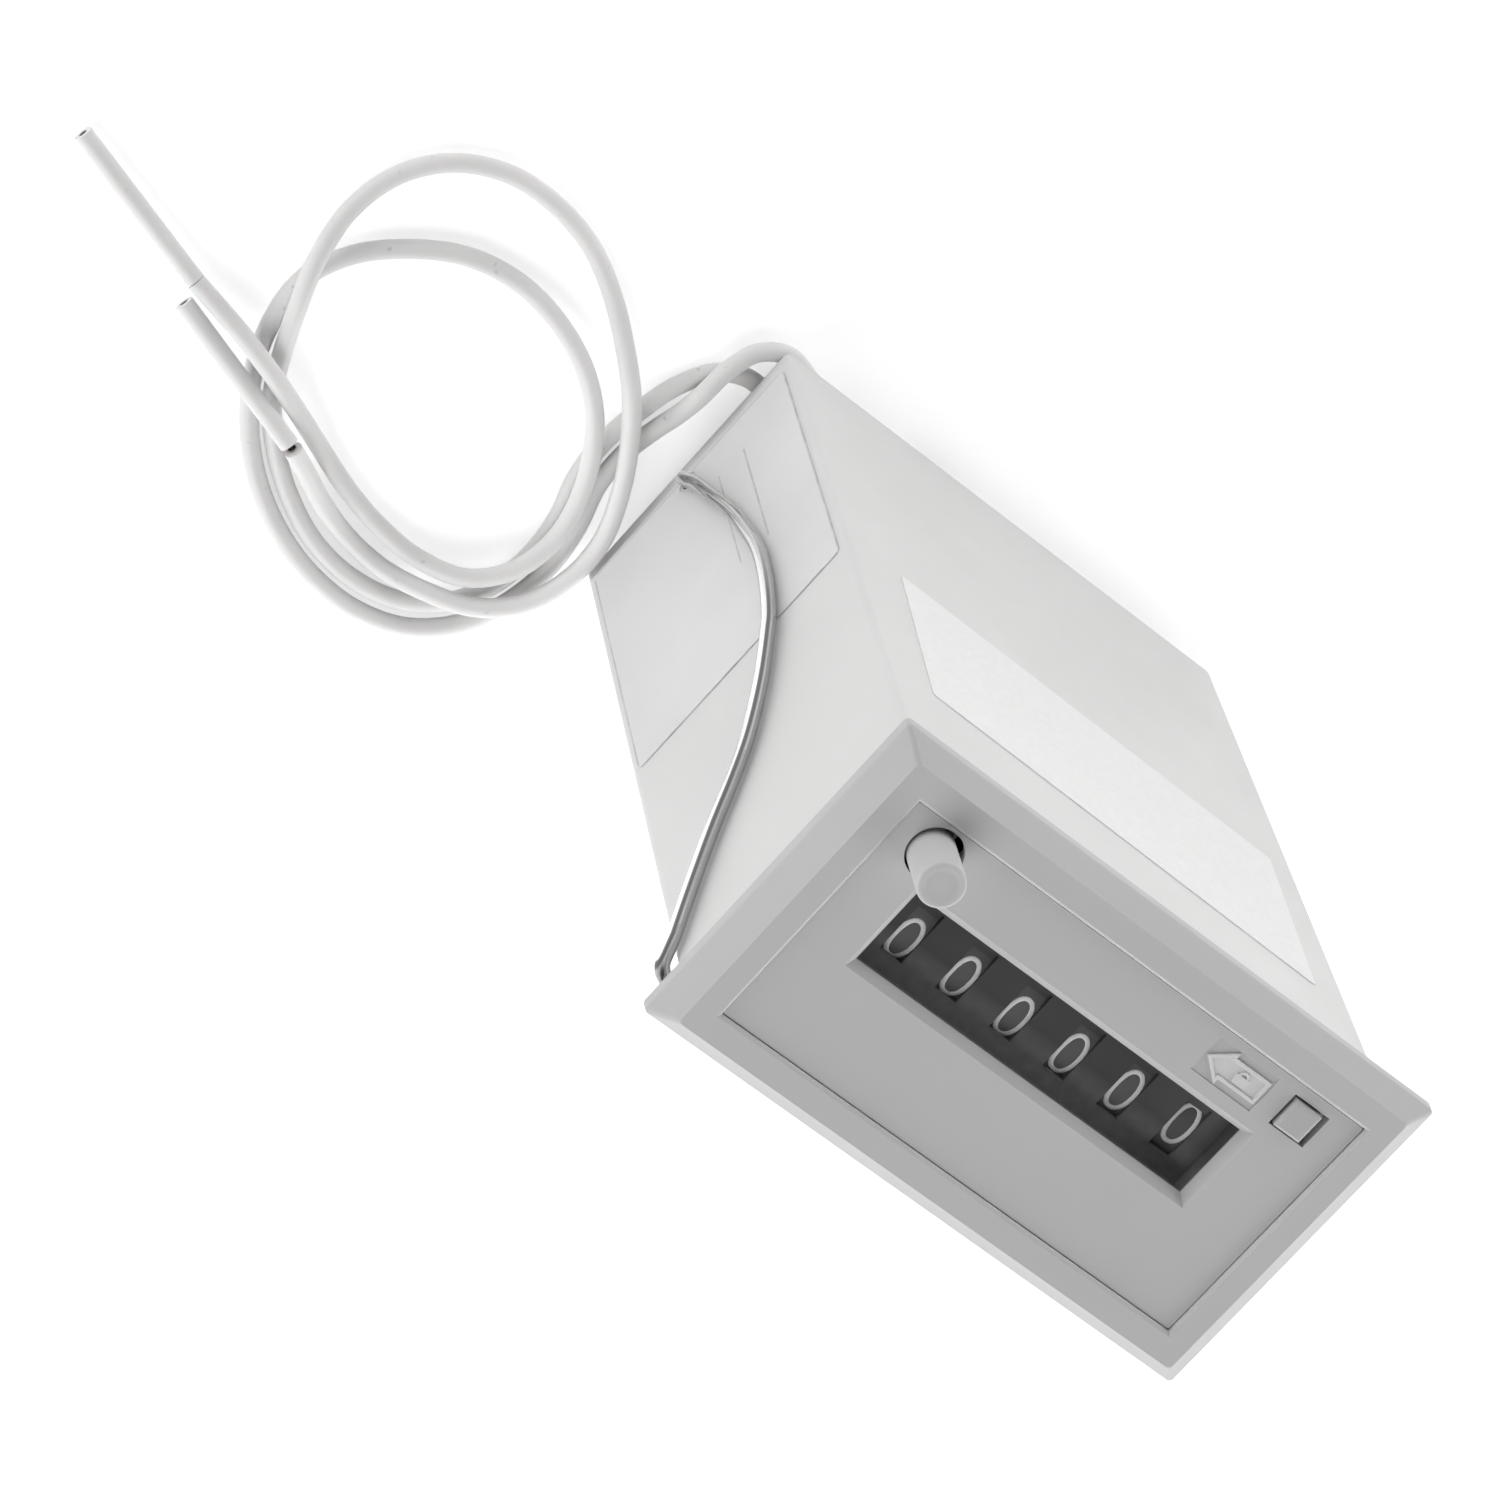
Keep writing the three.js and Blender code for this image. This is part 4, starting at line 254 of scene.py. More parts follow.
# %% Starting shapes
def settle(name):
    """Names the active object and puts its place, turn and size into its mesh."""
    piece = bpy.context.object
    piece.name = piece.data.name = name
    bpy.ops.object.transform_apply(location=True, rotation=True, scale=True)
    return piece


def block(name, x, y, z):
    """A block between two bounds, in mm, along each axis."""
    select_only()
    middles = [MM * (low + high) / 2 for low, high in (x, y, z)]
    sizes = [MM * (high - low) for low, high in (x, y, z)]
    bpy.ops.mesh.primitive_cube_add(size=1, location=middles, scale=sizes)
    return settle(name)


def cylinder(name, radius, x, y, z, sides=64, spin=0.0):
    """A cylinder, in mm, along X or Z: the one that is given as two bounds and not as a place."""
    select_only()
    bounds = [place if isinstance(place, tuple) else (place, place) for place in (x, y, z)]
    bpy.ops.mesh.primitive_cylinder_add(
        vertices=sides,
        radius=MM * radius,
        depth=MM * max(high - low for low, high in bounds),
        location=[MM * (low + high) / 2 for low, high in bounds],
        rotation=(0, math.pi / 2, 0) if isinstance(x, tuple) else (0, 0, spin),
    )
    return settle(name)


def one_mesh(name, *bars):
    """Turns round bars, which are curves, into one mesh."""
    select_only(*bars)
    bpy.ops.object.convert(target="MESH")
    if len(bars) > 1:
        bpy.ops.object.join()
    piece = bpy.context.object
    piece.name = piece.data.name = name
    piece.data.materials.clear()
    return piece


# %% Moving and widening
def push(*way):
    """In edit mode, extrudes what is selected by a step in mm."""
    step = [MM * part for part in way]
    bpy.ops.mesh.extrude_region_move(TRANSFORM_OT_translate={"value": step})


def widen(times_x, times_y, centre):
    """In edit mode, stretches what is selected along X and Y, away from a centre in mm."""
    fixed = [MM * place for place in centre]
    bpy.ops.transform.resize(value=(times_x, times_y, 1), center_override=fixed)


def mend_normals():
    pick_all()
    bpy.ops.mesh.normals_make_consistent(inside=False)


# %% A ring with a section
def ring_walk(name, section):
    """A frame: a rectangular loop of edges is extruded from one corner of the section to the next.

    The section is a list of (half width, half height, z) in mm, and it closes on its first corner.
    """
    select_only()
    across, up, level = section[0]
    bpy.ops.mesh.primitive_plane_add(size=1, location=(0, 0, MM * level))
    piece = settle(name)
    edit(piece)
    bpy.ops.mesh.select_mode(type="EDGE")
    pick_all()
    bpy.ops.mesh.delete(type="ONLY_FACE")
    pick_all()
    widen(2 * MM * across, 2 * MM * up, (0, 0, level))
    for next_across, next_up, next_level in section[1:] + section[:1]:
        push(0, 0, next_level - level)
        widen(next_across / across, next_up / up, (0, 0, next_level))
        across, up, level = next_across, next_up, next_level
    pick_all()
    bpy.ops.mesh.remove_doubles(threshold=0.002 * MM)
    mend_normals()
    leave()
    return piece


# %% Cutting and hollowing
def carve(piece, tool, operation="DIFFERENCE"):
    """Cuts a tool from a piece, or unites them, and removes the tool."""
    step = piece.modifiers.new("carve", "BOOLEAN")
    step.operation = operation
    step.object = tool
    step.solver = "EXACT"
    select_only(piece)
    bpy.ops.object.modifier_apply(modifier=step.name)
    bpy.data.objects.remove(tool, do_unlink=True)


def bore(piece, wall):
    """Makes a tube of a cylinder: its end caps are inset by the wall, in mm, and bridged."""
    edit(piece)
    pick(piece, "FACE", lambda face: len(face.verts) > 4)
    bpy.ops.mesh.inset(thickness=MM * wall)
    bpy.ops.mesh.bridge_edge_loops()
    mend_normals()
    leave()


# %% Rounding
# Faces that turn from one another by less than these angles are shaded as one smooth surface.
flat_turn, bar_turn = math.radians(35), math.radians(50)


def round_edges(piece, wanted, radius, steps):
    """Rounds the edges that a test accepts by a radius in mm, and counts them."""
    edit(piece)
    count = pick(piece, "EDGE", wanted)
    bpy.ops.mesh.bevel(offset=MM * radius, segments=steps, affect="EDGES")
    leave()
    return count


def round_uprights(piece, reach_x, reach_y, radius):
    """Rounds the edges along Z that lie at least that far out, in mm, and counts them."""

    def upright(edge):
        span = edge.verts[0].co - edge.verts[1].co
        place = middle(edge)
        far_out = abs(place.x) > reach_x and abs(place.y) > reach_y
        return abs(span.x) < 1e-6 and abs(span.y) < 1e-6 and far_out

    return round_edges(piece, upright, radius, 5)


def soften(piece, width, sharper_than=30):
    """Rounds the edges that turn sharply, then shades the rounds smooth and the flats flat."""
    step = piece.modifiers.new("edges", "BEVEL")
    step.width = MM * width
    step.segments = 2
    step.limit_method = "ANGLE"
    step.angle_limit = math.radians(sharper_than)
    select_only(piece)
    bpy.ops.object.modifier_apply(modifier=step.name)
    bpy.ops.object.shade_smooth_by_angle(angle=flat_turn)
    weight = piece.modifiers.new("flats", "WEIGHTED_NORMAL")
    weight.keep_sharp = True
    bpy.ops.object.modifier_apply(modifier=weight.name)


# %% Finishing a piece
def report(piece):
    """Prints a finished piece's lowest and highest corners in mm and its faces."""
    corners = [piece.matrix_world @ Vector(corner) for corner in piece.bound_box]
    ends = [[end(corner[k] for corner in corners) for k in range(3)] for end in (min, max)]
    print(piece.name, *in_mm(ends), len(piece.data.polygons), "faces")


def finish(piece, material, body, finish_name, *nodes):
    """Gives a piece its material and the body it rides on, hides the nodes it stands for, and reports
    it.
    """
    piece.data.materials.append(material)
    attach(piece, body)
    if nodes:
        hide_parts(*nodes)
    report(piece)


# %% [markdown]
# ## Finishes
#
# A moulded or pressed surface is never one flat colour. Each finish below is built from nodes on
# Object coordinates: broad soft noise for a slightly uneven colour, fine noise for the grain of the
# mould, another for patches of roughness, and a paler rim where edges have rubbed. The rim compares
# the true normal with one that is rounded off over about a fifth of a millimetre.

# %% Node tree
class Tree:
    """The nodes of a material or of the sky, with short ways to add them and link them up."""

    def __init__(self, owner):
        owner.use_nodes = True
        self.nodes, self.links = owner.node_tree.nodes, owner.node_tree.links

    def fill(self, socket, value):
        """Links another node's output into an input, or sets the input to a constant."""
        if isinstance(value, bpy.types.NodeSocket):
            self.links.new(value, socket)
        else:
            socket.default_value = value

    def add(self, kind, *values, **named):
        """Adds a node. Values fill its first inputs, in order.

        A name with a capital is an input too, and one in small letters is a setting of the node.
        """
        node = self.nodes.new(f"ShaderNode{kind}")
        for name, value in named.items():
            if name.islower():
                setattr(node, name, value)
        for socket, value in zip(node.inputs, values):
            self.fill(socket, value)
        for name, value in named.items():
            if not name.islower():
                self.fill(node.inputs[name.replace("_", " ")], value)
        return node

    def math(self, operation, *values):
        return self.add("Math", *values, operation=operation).outputs[0]

    def between(self, driver, low, high, start=0.3, end=0.7, manner="LINEAR"):
        """A number that goes from low to high as the driver goes from start to end."""
        spans = {"From_Min": start, "From_Max": end, "To_Min": low, "To_Max": high}
        node = self.add("MapRange", Value=driver, interpolation_type=manner, **spans)
        return node.outputs["Result"]

    def looked_at(self):
        """1 for rays that show a thing to the eye, straight, mirrored or through glass, else 0."""
        path = self.add("LightPath").outputs
        mirrored = self.math("MAXIMUM", path["Is Camera Ray"], path["Is Glossy Ray"])
        return self.math("MAXIMUM", mirrored, path["Is Transmission Ray"])


# %% A finish under construction
class Finish(Tree):
    """A material whose shader starts with constants on its own sockets."""

    def __init__(self, name, **constants):
        self.material = bpy.data.materials.new(name)
        super().__init__(self.material)
        self.shader = self.nodes["Principled BSDF"].inputs
        self.place = self.add("TexCoord").outputs["Object"]
        for socket, value in constants.items():
            self.fill(self.shader[socket.replace("_", " ")], value)

    def axes(self):
        return self.add("SeparateXYZ", self.place).outputs

    def noise(self, scale, detail=2.0, stretch=None):
        """Noise with that many features to a metre, drawn out along an axis if stretch is given."""
        place = self.place
        if stretch:
            place = self.add("Mapping", Vector=place, Scale=stretch).outputs["Vector"]
        return self.add("TexNoise", Vector=place, Scale=scale, Detail=detail).outputs[0]

    def ramp(self, driver, *stops):
        """A colour that passes through stops, each a value of the driver and a colour."""
        node = self.add("ValToRGB", driver)
        marks = node.color_ramp.elements
        while len(marks) < len(stops):
            marks.new(0.5)
        for mark, (position, colour) in zip(marks, stops):
            mark.position = position
            mark.color = (*colour, 1)
        return node.outputs["Color"]

    def tint(self, driver, low, high, start=0.3, end=0.7):
        """A colour that goes from low to high as the driver goes from start to end."""
        return self.ramp(driver, (start, low), (end, high))

    def mix(self, driver, one, other):
        """One colour, covered by the other where the driver is 1."""
        node = self.add("Mix", driver, data_type="RGBA")
        for socket, colour in zip(node.inputs[6:8], (one, other)):
            self.fill(socket, (*colour, 1) if isinstance(colour, tuple) else colour)
        return node.outputs[2]

    def rubbed(self, width, strength):
        """How much an edge is rubbed: 0 on a flat, up to strength on an outer edge."""
        rounded = self.add("Bevel", samples=4, Radius=MM * width).outputs["Normal"]
        true = self.add("NewGeometry").outputs["Normal"]
        likeness = self.add("VectorMath", rounded, true, operation="DOT_PRODUCT")
        edge, flat = 0.82, 0.99
        return self.between(likeness.outputs["Value"], strength, 0.0, edge, flat)

    def rough(self, scale, low, high, stretch=None):
        """Gives the surface patches of roughness, that many to a metre."""
        patches = self.between(self.noise(scale, stretch=stretch), low, high)
        self.fill(self.shader["Roughness"], patches)

    def bump(self, height, strength, depth):
        """Gives the surface a relief that many mm deep."""
        node = self.add("Bump", Height=height, Strength=strength, Distance=MM * depth)
        self.fill(self.shader["Normal"], node.outputs["Normal"])

    def colour(self, output):
        """Sets the colour, which ends the work on a finish, and hands over the material."""
        self.fill(self.shader["Base Color"], output)
        return self.material


def grey(value, warmth=0.0):
    """A neutral colour, a little warmer or cooler."""
    return (value * (1 + warmth), value, value * (1 - warmth))


def brighter(colour, times):
    return tuple(min(times * value, 1.0) for value in colour)


# %% Moulded plastics
def moulded(name, level, low_rough, high_rough, grain, relief, warmth=0.0, wear=0.35, spread=0.02):
    """Moulded plastic of one grey level, with its mould's grain and rubbed edges."""
    made = Finish(name, Metallic=0.0, IOR=1.47, Specular_IOR_Level=0.35)
    darkest, palest = grey(level * (1 - spread), warmth), grey(level * (1 + spread), warmth)
    body = made.tint(made.noise(45.0, 3.0), darkest, palest)
    rim = min(level * 1.35, 0.86)
    body = made.mix(made.rubbed(0.22, wear), body, grey(rim, warmth))
    made.rough(160.0, low_rough, high_rough)
    made.bump(made.noise(grain), 0.35, relief)
    return made.colour(body)


case_plastic = moulded("case_plastic", 0.715, 0.42, 0.55, 2600.0, 0.006, 0.004, wear=0.25)
frame_plastic = moulded("frame_plastic", 0.53, 0.48, 0.62, 3200.0, 0.010)
slider_plastic = moulded("slider_plastic", 0.47, 0.48, 0.62, 3200.0, 0.010)
button_plastic = moulded("button_plastic", 0.545, 0.38, 0.52, 2600.0, 0.006)
# The drums' black is painted paler than the mask's: painted light against the shade under the mask.
drum_plastic = moulded("drum_plastic", 0.15, 0.40, 0.58, 2400.0, 0.008, -0.01, 0.12, 0.10)
# The arrow's plastic is the frame's grey painted paler: a painted highlight on the raised outline.
raised_plastic_painted_highlight = moulded("raised_plastic_painted_highlight", 0.70, 0.46, 0.60, 3200.0, 0.010)
nylon = moulded("nylon", 0.66, 0.34, 0.46, 1800.0, 0.006, 0.03)
cover_plastic = moulded("cover_plastic", 0.62, 0.48, 0.60, 2400.0, 0.010, 0.004)


def black_with_painted_fill():
    """Black plastic painted paler along two edges, as painted light against the tray's shade."""
    made = Finish("black_plastic_with_painted_fill", Metallic=0.0, IOR=1.47, Specular_IOR_Level=0.3)
    axes = made.axes()
    black, black_cloud, painted_fill = grey(0.064), grey(0.074), grey(0.27)
    # Painted light: the black is painted paler towards low Y and high X, where the tray lies in
    # shade.
    low = made.between(axes["Y"], 0.9, 0.0, -1.6 * MM, 1.6 * MM)
    right = made.between(axes["X"], 0.0, 0.4, 9 * MM, 19 * MM)
    edges = made.math("MINIMUM", made.math("ADD", low, right), 1.0)
    patches = made.between(made.noise(700.0, 3.0), 0.75, 1.0)
    body = made.tint(made.noise(60.0, 3.0), black, black_cloud)
    body = made.mix(made.math("MULTIPLY", edges, patches), body, painted_fill)
    made.rough(160.0, 0.50, 0.66)
    made.bump(made.noise(2400.0), 0.35, 0.008)
    return made.colour(body)


mask_plastic = black_with_painted_fill()
print("nodes in the mask's finish:", len(mask_plastic.node_tree.nodes))

# %% [markdown]
# Metals differ from plastics in more than colour: they mirror what is round them, so their look
# comes from how rough they are and from marks that run one way. Drawn wire has streaks along its
# length, and rolled plate has fine lines along the roll. Both are noise that is stretched. The
# bail's wire carries a painted reflection: each arm has a painted bright line along its outermost
# line and a painted dark line beside it, and both fade towards the rear. Both are drawn by how far
# out a point lies.

# %% Metals
def metal(name, colour, low_rough, high_rough, stretch, relief):
    """A metal with drawing or rolling marks: noise that is drawn out along them by stretch."""
    made = Finish(name, Metallic=1.0)
    streaks = made.noise(1400.0, 3.0, stretch)
    dull, bright, rim = (brighter(colour, times) for times in (0.82, 1.08, 1.3))
    body = made.mix(made.rubbed(0.15, 0.2), made.tint(streaks, dull, bright), rim)
    made.rough(420.0, low_rough, high_rough, stretch)
    made.bump(streaks, 0.25, relief)
    return made.colour(body)


along_x, along_y, along_z = (0.06, 1, 1), (1, 0.06, 1), (1, 1, 0.06)
shaft_steel = metal("shaft_steel", grey(0.58), 0.16, 0.28, along_x, 0.004)
spring_steel = metal("spring_steel", grey(0.50), 0.22, 0.34, along_z, 0.004)
plated_sheet = metal("plated_sheet", (0.62, 0.62, 0.60), 0.30, 0.44, along_z, 0.008)
soft_iron = metal("soft_iron", (0.42, 0.42, 0.43), 0.38, 0.52, along_z, 0.010)
screw_steel = metal("screw_steel", grey(0.52), 0.26, 0.38, along_y, 0.006)
terminal_brass = metal("terminal_brass", (0.72, 0.55, 0.26), 0.22, 0.34, along_z, 0.005)
tinned_strand = metal("tinned_strand", grey(0.03), 0.40, 0.55, along_x, 0.004)

bail_arm_x, bail_wire = 30.0, 0.74


def wire_with_painted_reflection():
    """Drawn steel wire with a painted reflection: a bright line along each arm's outer edge and a
    dark line beside it.
    """
    made = Finish("wire_with_painted_reflection", Metallic=1.0)
    axes = made.axes()
    inner, outer = MM * (bail_arm_x - bail_wire), MM * (bail_arm_x + bail_wire)
    outwards = made.between(made.math("ABSOLUTE", axes["X"]), 0.0, 1.0, inner, outer)
    # Painted reflection: across each arm the colour runs through a dark line to a bright one at its
    # outer edge.
    painted_reflection_tones = ((0.0, 0.46), (0.66, 0.42), (0.78, 0.12), (0.89, 0.15), (0.94, 0.90), (1.0, 0.94))
    across = made.ramp(outwards, *((position, grey(value)) for position, value in painted_reflection_tones))
    # Towards the rear the painted reflection fades into plain grey marks.
    forward = made.between(axes["Z"], 0.0, 1.0, 26 * MM, 46 * MM)
    marks = made.tint(made.noise(5000.0), grey(0.44), grey(0.52))
    made.rough(900.0, 0.05, 0.10)
    made.bump(made.noise(6000.0), 0.2, 0.0004)
    return made.colour(made.mix(forward, marks, across))


bail_steel = wire_with_painted_reflection()


def wound_copper():
    """Enamelled copper wire wound in even turns round an upright bobbin."""
    made = Finish("wound_copper", Metallic=0.85, Coat_Weight=0.6, Coat_Roughness=0.18)
    wave = {"Vector": made.place, "Scale": 900.0, "Distortion": 0.6}
    turns = made.add("TexWave", bands_direction="Z", **wave).outputs["Fac"]
    # Painted shade and highlight: the colour is darker in the gaps between the turns and paler on
    # their crests.
    gap, crest = (0.20, 0.07, 0.03), (0.52, 0.22, 0.10)
    made.rough(200.0, 0.28, 0.42)
    made.bump(turns, 0.6, 0.05)
    return made.colour(made.tint(turns, gap, crest, 0.1, 0.9))


coil_wire = wound_copper()

# %% [markdown]
# The leads have thin white insulation, extruded and a little waxy. Extrusion leaves it uneven and
# handling leaves a few grey specks, so the roughness and the colour wander along the lead.

# %% Insulation
def insulation():
    waxy = {"Subsurface_Weight": 0.05, "Subsurface_Scale": 0.001}
    made = Finish("insulation", Metallic=0.0, IOR=1.46, Specular_IOR_Level=0.4, **waxy)
    body = made.tint(made.noise(70.0, 3.0), grey(0.80, 0.004), grey(0.87, 0.004))
    specks = made.between(made.noise(900.0, 1.0), 0.0, 0.5, 0.72, 0.80)
    made.rough(300.0, 0.34, 0.50)
    made.bump(made.noise(1800.0), 0.3, 0.008)
    return made.colour(made.mix(specks, body, grey(0.50)))


lead_plastic = insulation()
for lead in leads:
    lead.data.materials.append(lead_plastic)

# %% [markdown]
# ## The ends of the leads
#
# Near its end each lead's insulation is cut through and pulled a little way along the wire, so that
# it can be slid off just before wiring. The loose slug of insulation is a short tube: a cylinder
# whose end caps are inset and bridged to make the bore. The wire in it is a strand of seven thin
# wires, and each of them is a long screw line round the middle one.

# %% Cut ends
lead_ends = [(-97.3, -10.0, 1.05), (-78.9, -17.4, 2.1)]
slug_gaps = [0.22, 0.6]
slug_places = []
for line, end, gap in zip(lead_lines, lead_ends, slug_gaps):
    start, end = line[-1], Vector(end) * MM
    along = (end - start).normalized()
    first = start + along * gap * MM
    slug_places.append((start, first, end, along))
    print("slug length in mm:", round((end - first).length / MM, 2))


# %% Slugs of insulation
def slug(number):
    start, first, end, along = slug_places[number - 1]
    select_only()
    bpy.ops.mesh.primitive_cylinder_add(
        vertices=32,
        radius=lead_radius,
        depth=(end - first).length,
        location=(first + end) / 2,
        rotation=along.to_track_quat("Z", "Y").to_euler(),
    )
    piece = settle(f"slug_{number}")
    bore(piece, 0.55)
    soften(piece, 0.07, 60)
    finish(piece, lead_plastic, "housing", "insulation", f"lead_slug_{number}")
    return piece


slugs = [slug(number) for number in (1, 2)]

# %% Strands of the wire
strand_radius, strand_lay, core_gap = 0.142, 9.0, 0.08
wires_apart, steps_a_mm = 2.04 * strand_radius, 3


def strand(number):
    """Seven thin wires, six of them twisted round the middle one."""
    start, first, end, along = slug_places[number - 1]
    from_point = start + along * core_gap * MM
    length = (end - along * core_gap * MM - from_point).length
    side = along.cross(Vector((0, 0, 1))).normalized()
    up = side.cross(along)
    steps = round(length / MM * steps_a_mm)
    wires = []
    for wire in range(7):
        offset = 0 if wire == 6 else wires_apart
        line = []
        for step in range(steps + 1):
            travel = length * step / steps
            turn = math.radians(60 * wire) + 2 * math.pi * travel / (strand_lay * MM)
            aside = side * math.cos(turn) + up * math.sin(turn)
            line.append(from_point + along * travel + aside * offset * MM)
        wires.append(round_bar(f"wire_{number}_{wire}", line, strand_radius * MM, 2))
    piece = one_mesh(f"strand_{number}", *wires)
    bpy.ops.object.shade_smooth_by_angle(angle=bar_turn)
    finish(piece, tinned_strand, "housing", "tinned_copper", f"lead_core_{number}")
    return piece


strands = [strand(number) for number in (1, 2)]

for number, lead in enumerate(leads, start=1):
    line = lead_lines[number - 1]
    print(lead.name, "is", round(reach(line) / MM, 1), "mm long")

# %% [markdown]
# ## The case sleeve
#
# The case is one thin-walled moulded tube with a small ledge inside its rear end for the cover. A
# box with two cuts would do, but a ring walk is nearer to how it is drawn: one rectangular loop of
# edges is extruded along the section, out, over the rim and back inside. The four long corners are
# then rounded and holes for the bail are drilled through both sides.

# %% Sleeve
sleeve_section = [
    (29.0, 15.5, 2.7), (29.0, 15.5, 92.7), (27.5, 14.0, 92.7), (27.5, 14.0, 5.9),
    (26.7, 13.2, 5.9), (26.7, 13.2, 4.9), (27.5, 14.0, 4.9), (27.5, 14.0, 2.7),
]
case = ring_walk("case", sleeve_section)
print("long corners rounded:", round_uprights(case, 28.5, 15.0, 0.8))
hinge_y, hinge_z, hinge_play = -0.3, 6.5, 0.1
carve(case, cylinder("bail_drill", bail_wire + hinge_play, (-40, 40), hinge_y, hinge_z, 24))
soften(case, 0.14)
finish(case, case_plastic, "housing", "ivory_plastic", "case_sleeve")

# %% [markdown]
# ## The front frame
#
# The bezel is the widest piece. Its section has a flat edge, a long chamfer, a flat ring, the recess
# for the face panel with a ledge, then a skirt that goes into the sleeve and a groove that takes
# the sleeve's edge. The same ring walk draws all of it. The outer corners and the mitres between
# the chamfers are slightly rounded on the real moulding, so they get a wider round than the rest.

# %% Bezel
rim_top, ring_top = 93.4, 95.7
bezel_section = [
    (32.0, 17.85, 92.1), (32.0, 17.85, rim_top), (29.7, 16.05, ring_top), (27.05, 13.2, ring_top),
    (27.05, 13.2, 94.0), (26.15, 12.3, 94.0), (26.15, 12.3, 92.1), (26.5, 13.0, 92.1),
    (26.5, 13.0, 88.1), (27.3, 13.8, 88.1), (27.3, 13.8, 92.1), (27.4, 13.9, 92.1),
    (27.4, 13.9, 92.7), (29.1, 15.6, 92.7), (29.1, 15.6, 92.1),
]
bezel = ring_walk("front_frame", bezel_section)


def outer_corner(edge):
    """The short upright corners of the frame and the mitres above them."""
    a, b = (Vector(corner.co) / MM for corner in edge.verts)
    steep = abs(a.z - b.z) > 0.5
    far = min(abs(a.x), abs(b.x)) > 29.5 and min(abs(a.y), abs(b.y)) > 15.9
    return steep and far and min(a.z, b.z) > 92.0


def level_at(edge, height):
    return all(abs(corner.co.z / MM - height) < 0.01 for corner in edge.verts)


def recess_edge(edge):
    """The edge between the flat ring and the recess."""
    return level_at(edge, ring_top) and abs(middle(edge).x) < 28.2 and abs(middle(edge).y) < 14.4


print("corner edges rounded:", round_edges(bezel, outer_corner, 0.45, 4))
print("recess edges rounded:", round_edges(bezel, recess_edge, 0.32, 1))
print("rim edges rounded:", round_edges(bezel, lambda edge: level_at(edge, rim_top), 0.18, 3))
soften(bezel, 0.04)
finish(bezel, frame_plastic, "housing", "grey_plastic", "bezel")

# %% [markdown]
# ## The face panel
#
# The panel is a plate in the recess of the frame. Its window has sloping sides, so that the eye
# reaches the number wheels from an angle. The tool that cuts it is a block whose top is drawn up and
# widened. A round hole and a square slot let the button and the lock knob through, and a shallow
# rectangle holds the raised arrow that shows which way to slide the knob.

# %% Plate and its window
panel_top = 95.2
panel = block("panel", (-26.95, 26.95), (-13.1, 13.1), (94.0, panel_top))
round_uprights(panel, 26, 12, 0.2)


def around(centre, half):
    """Two bounds that lie evenly about a centre."""
    return (centre - half, centre + half)


window_x, window_y, window_slope = -1.055, 1.87, 0.8
window_size = (39.32, 8.1)
slope_from, slope_rise = 94.2, 1.2
window_sides = around(window_x, window_size[0] / 2), around(window_y, window_size[1] / 2)
window_tool = block("window_tool", *window_sides, (93.0, slope_from))
edit(window_tool)
pick(window_tool, "FACE", lambda face: face.normal.z > 0.9)
push(0, 0, slope_rise)
wider = [(size + 2 * window_slope * slope_rise) / size for size in window_size]
widen(*wider, (window_x, window_y, slope_from + slope_rise))
leave()
carve(panel, window_tool)

# %% Holes in the plate
button_x, button_y, hole_radius, hole_shift = -22.6, 9.9, 2.7, 0.16
slot_x, slot_y = 21.72, 10.13
plate_x, plate_depth = 13.795, 0.12
arrow_floor = panel_top - plate_depth
through = (93, 96)
hole_x, hole_y = button_x + hole_shift, button_y + hole_shift
carve(panel, cylinder("button_tool", hole_radius, hole_x, hole_y, through))
carve(panel, block("slot_tool", around(slot_x, 2.125), around(slot_y, 1.85), through))
carve(panel, block("plate_tool", around(plate_x, 3.65), around(slot_y, 2.05), (arrow_floor, 96)))
soften(panel, 0.07)
finish(panel, frame_plastic, "housing", "grey_plastic", "face_panel")

# %% [markdown]
# The arrow is only an outline, raised by two tenths of a millimetre. A flat arrow is united from a
# shaft and a three-sided head, its upper face is inset by the width of the line, and the inside is
# pushed down again. A padlock sign stands in it: a block with half a ring sunk into its upper edge.

# %% Arrow
arrow_top = 95.3
arrow_z = (arrow_floor - 0.2, arrow_top)
arrow = block("arrow", (plate_x - 1.3, plate_x + 3.35), around(slot_y, 1.29), arrow_z)
head_long, head_half = 2.38, 1.9
head_reach = head_long / 1.5
head_x = plate_x - 3.35 + head_reach
head = cylinder("head", head_reach, head_x, slot_y, arrow_z, 3, math.pi / 2)
edit(head)
pick_all()
taller = head_half / (head_reach * math.sin(math.radians(60)))
widen(1, taller, (0, slot_y, 0))
leave()
print("arrow head corners:", in_mm(corner.co for corner in head.data.vertices))
carve(arrow, head, "UNION")
edit(arrow)
pick(arrow, "FACE", lambda face: face.normal.z > 0.9)
bpy.ops.mesh.dissolve_faces()
pick(arrow, "FACE", lambda face: face.normal.z > 0.9)
outline_width, outline_height = 0.33, 0.17
bpy.ops.mesh.inset(thickness=outline_width * MM)
push(0, 0, -outline_height)
leave()
soften(arrow, 0.04)

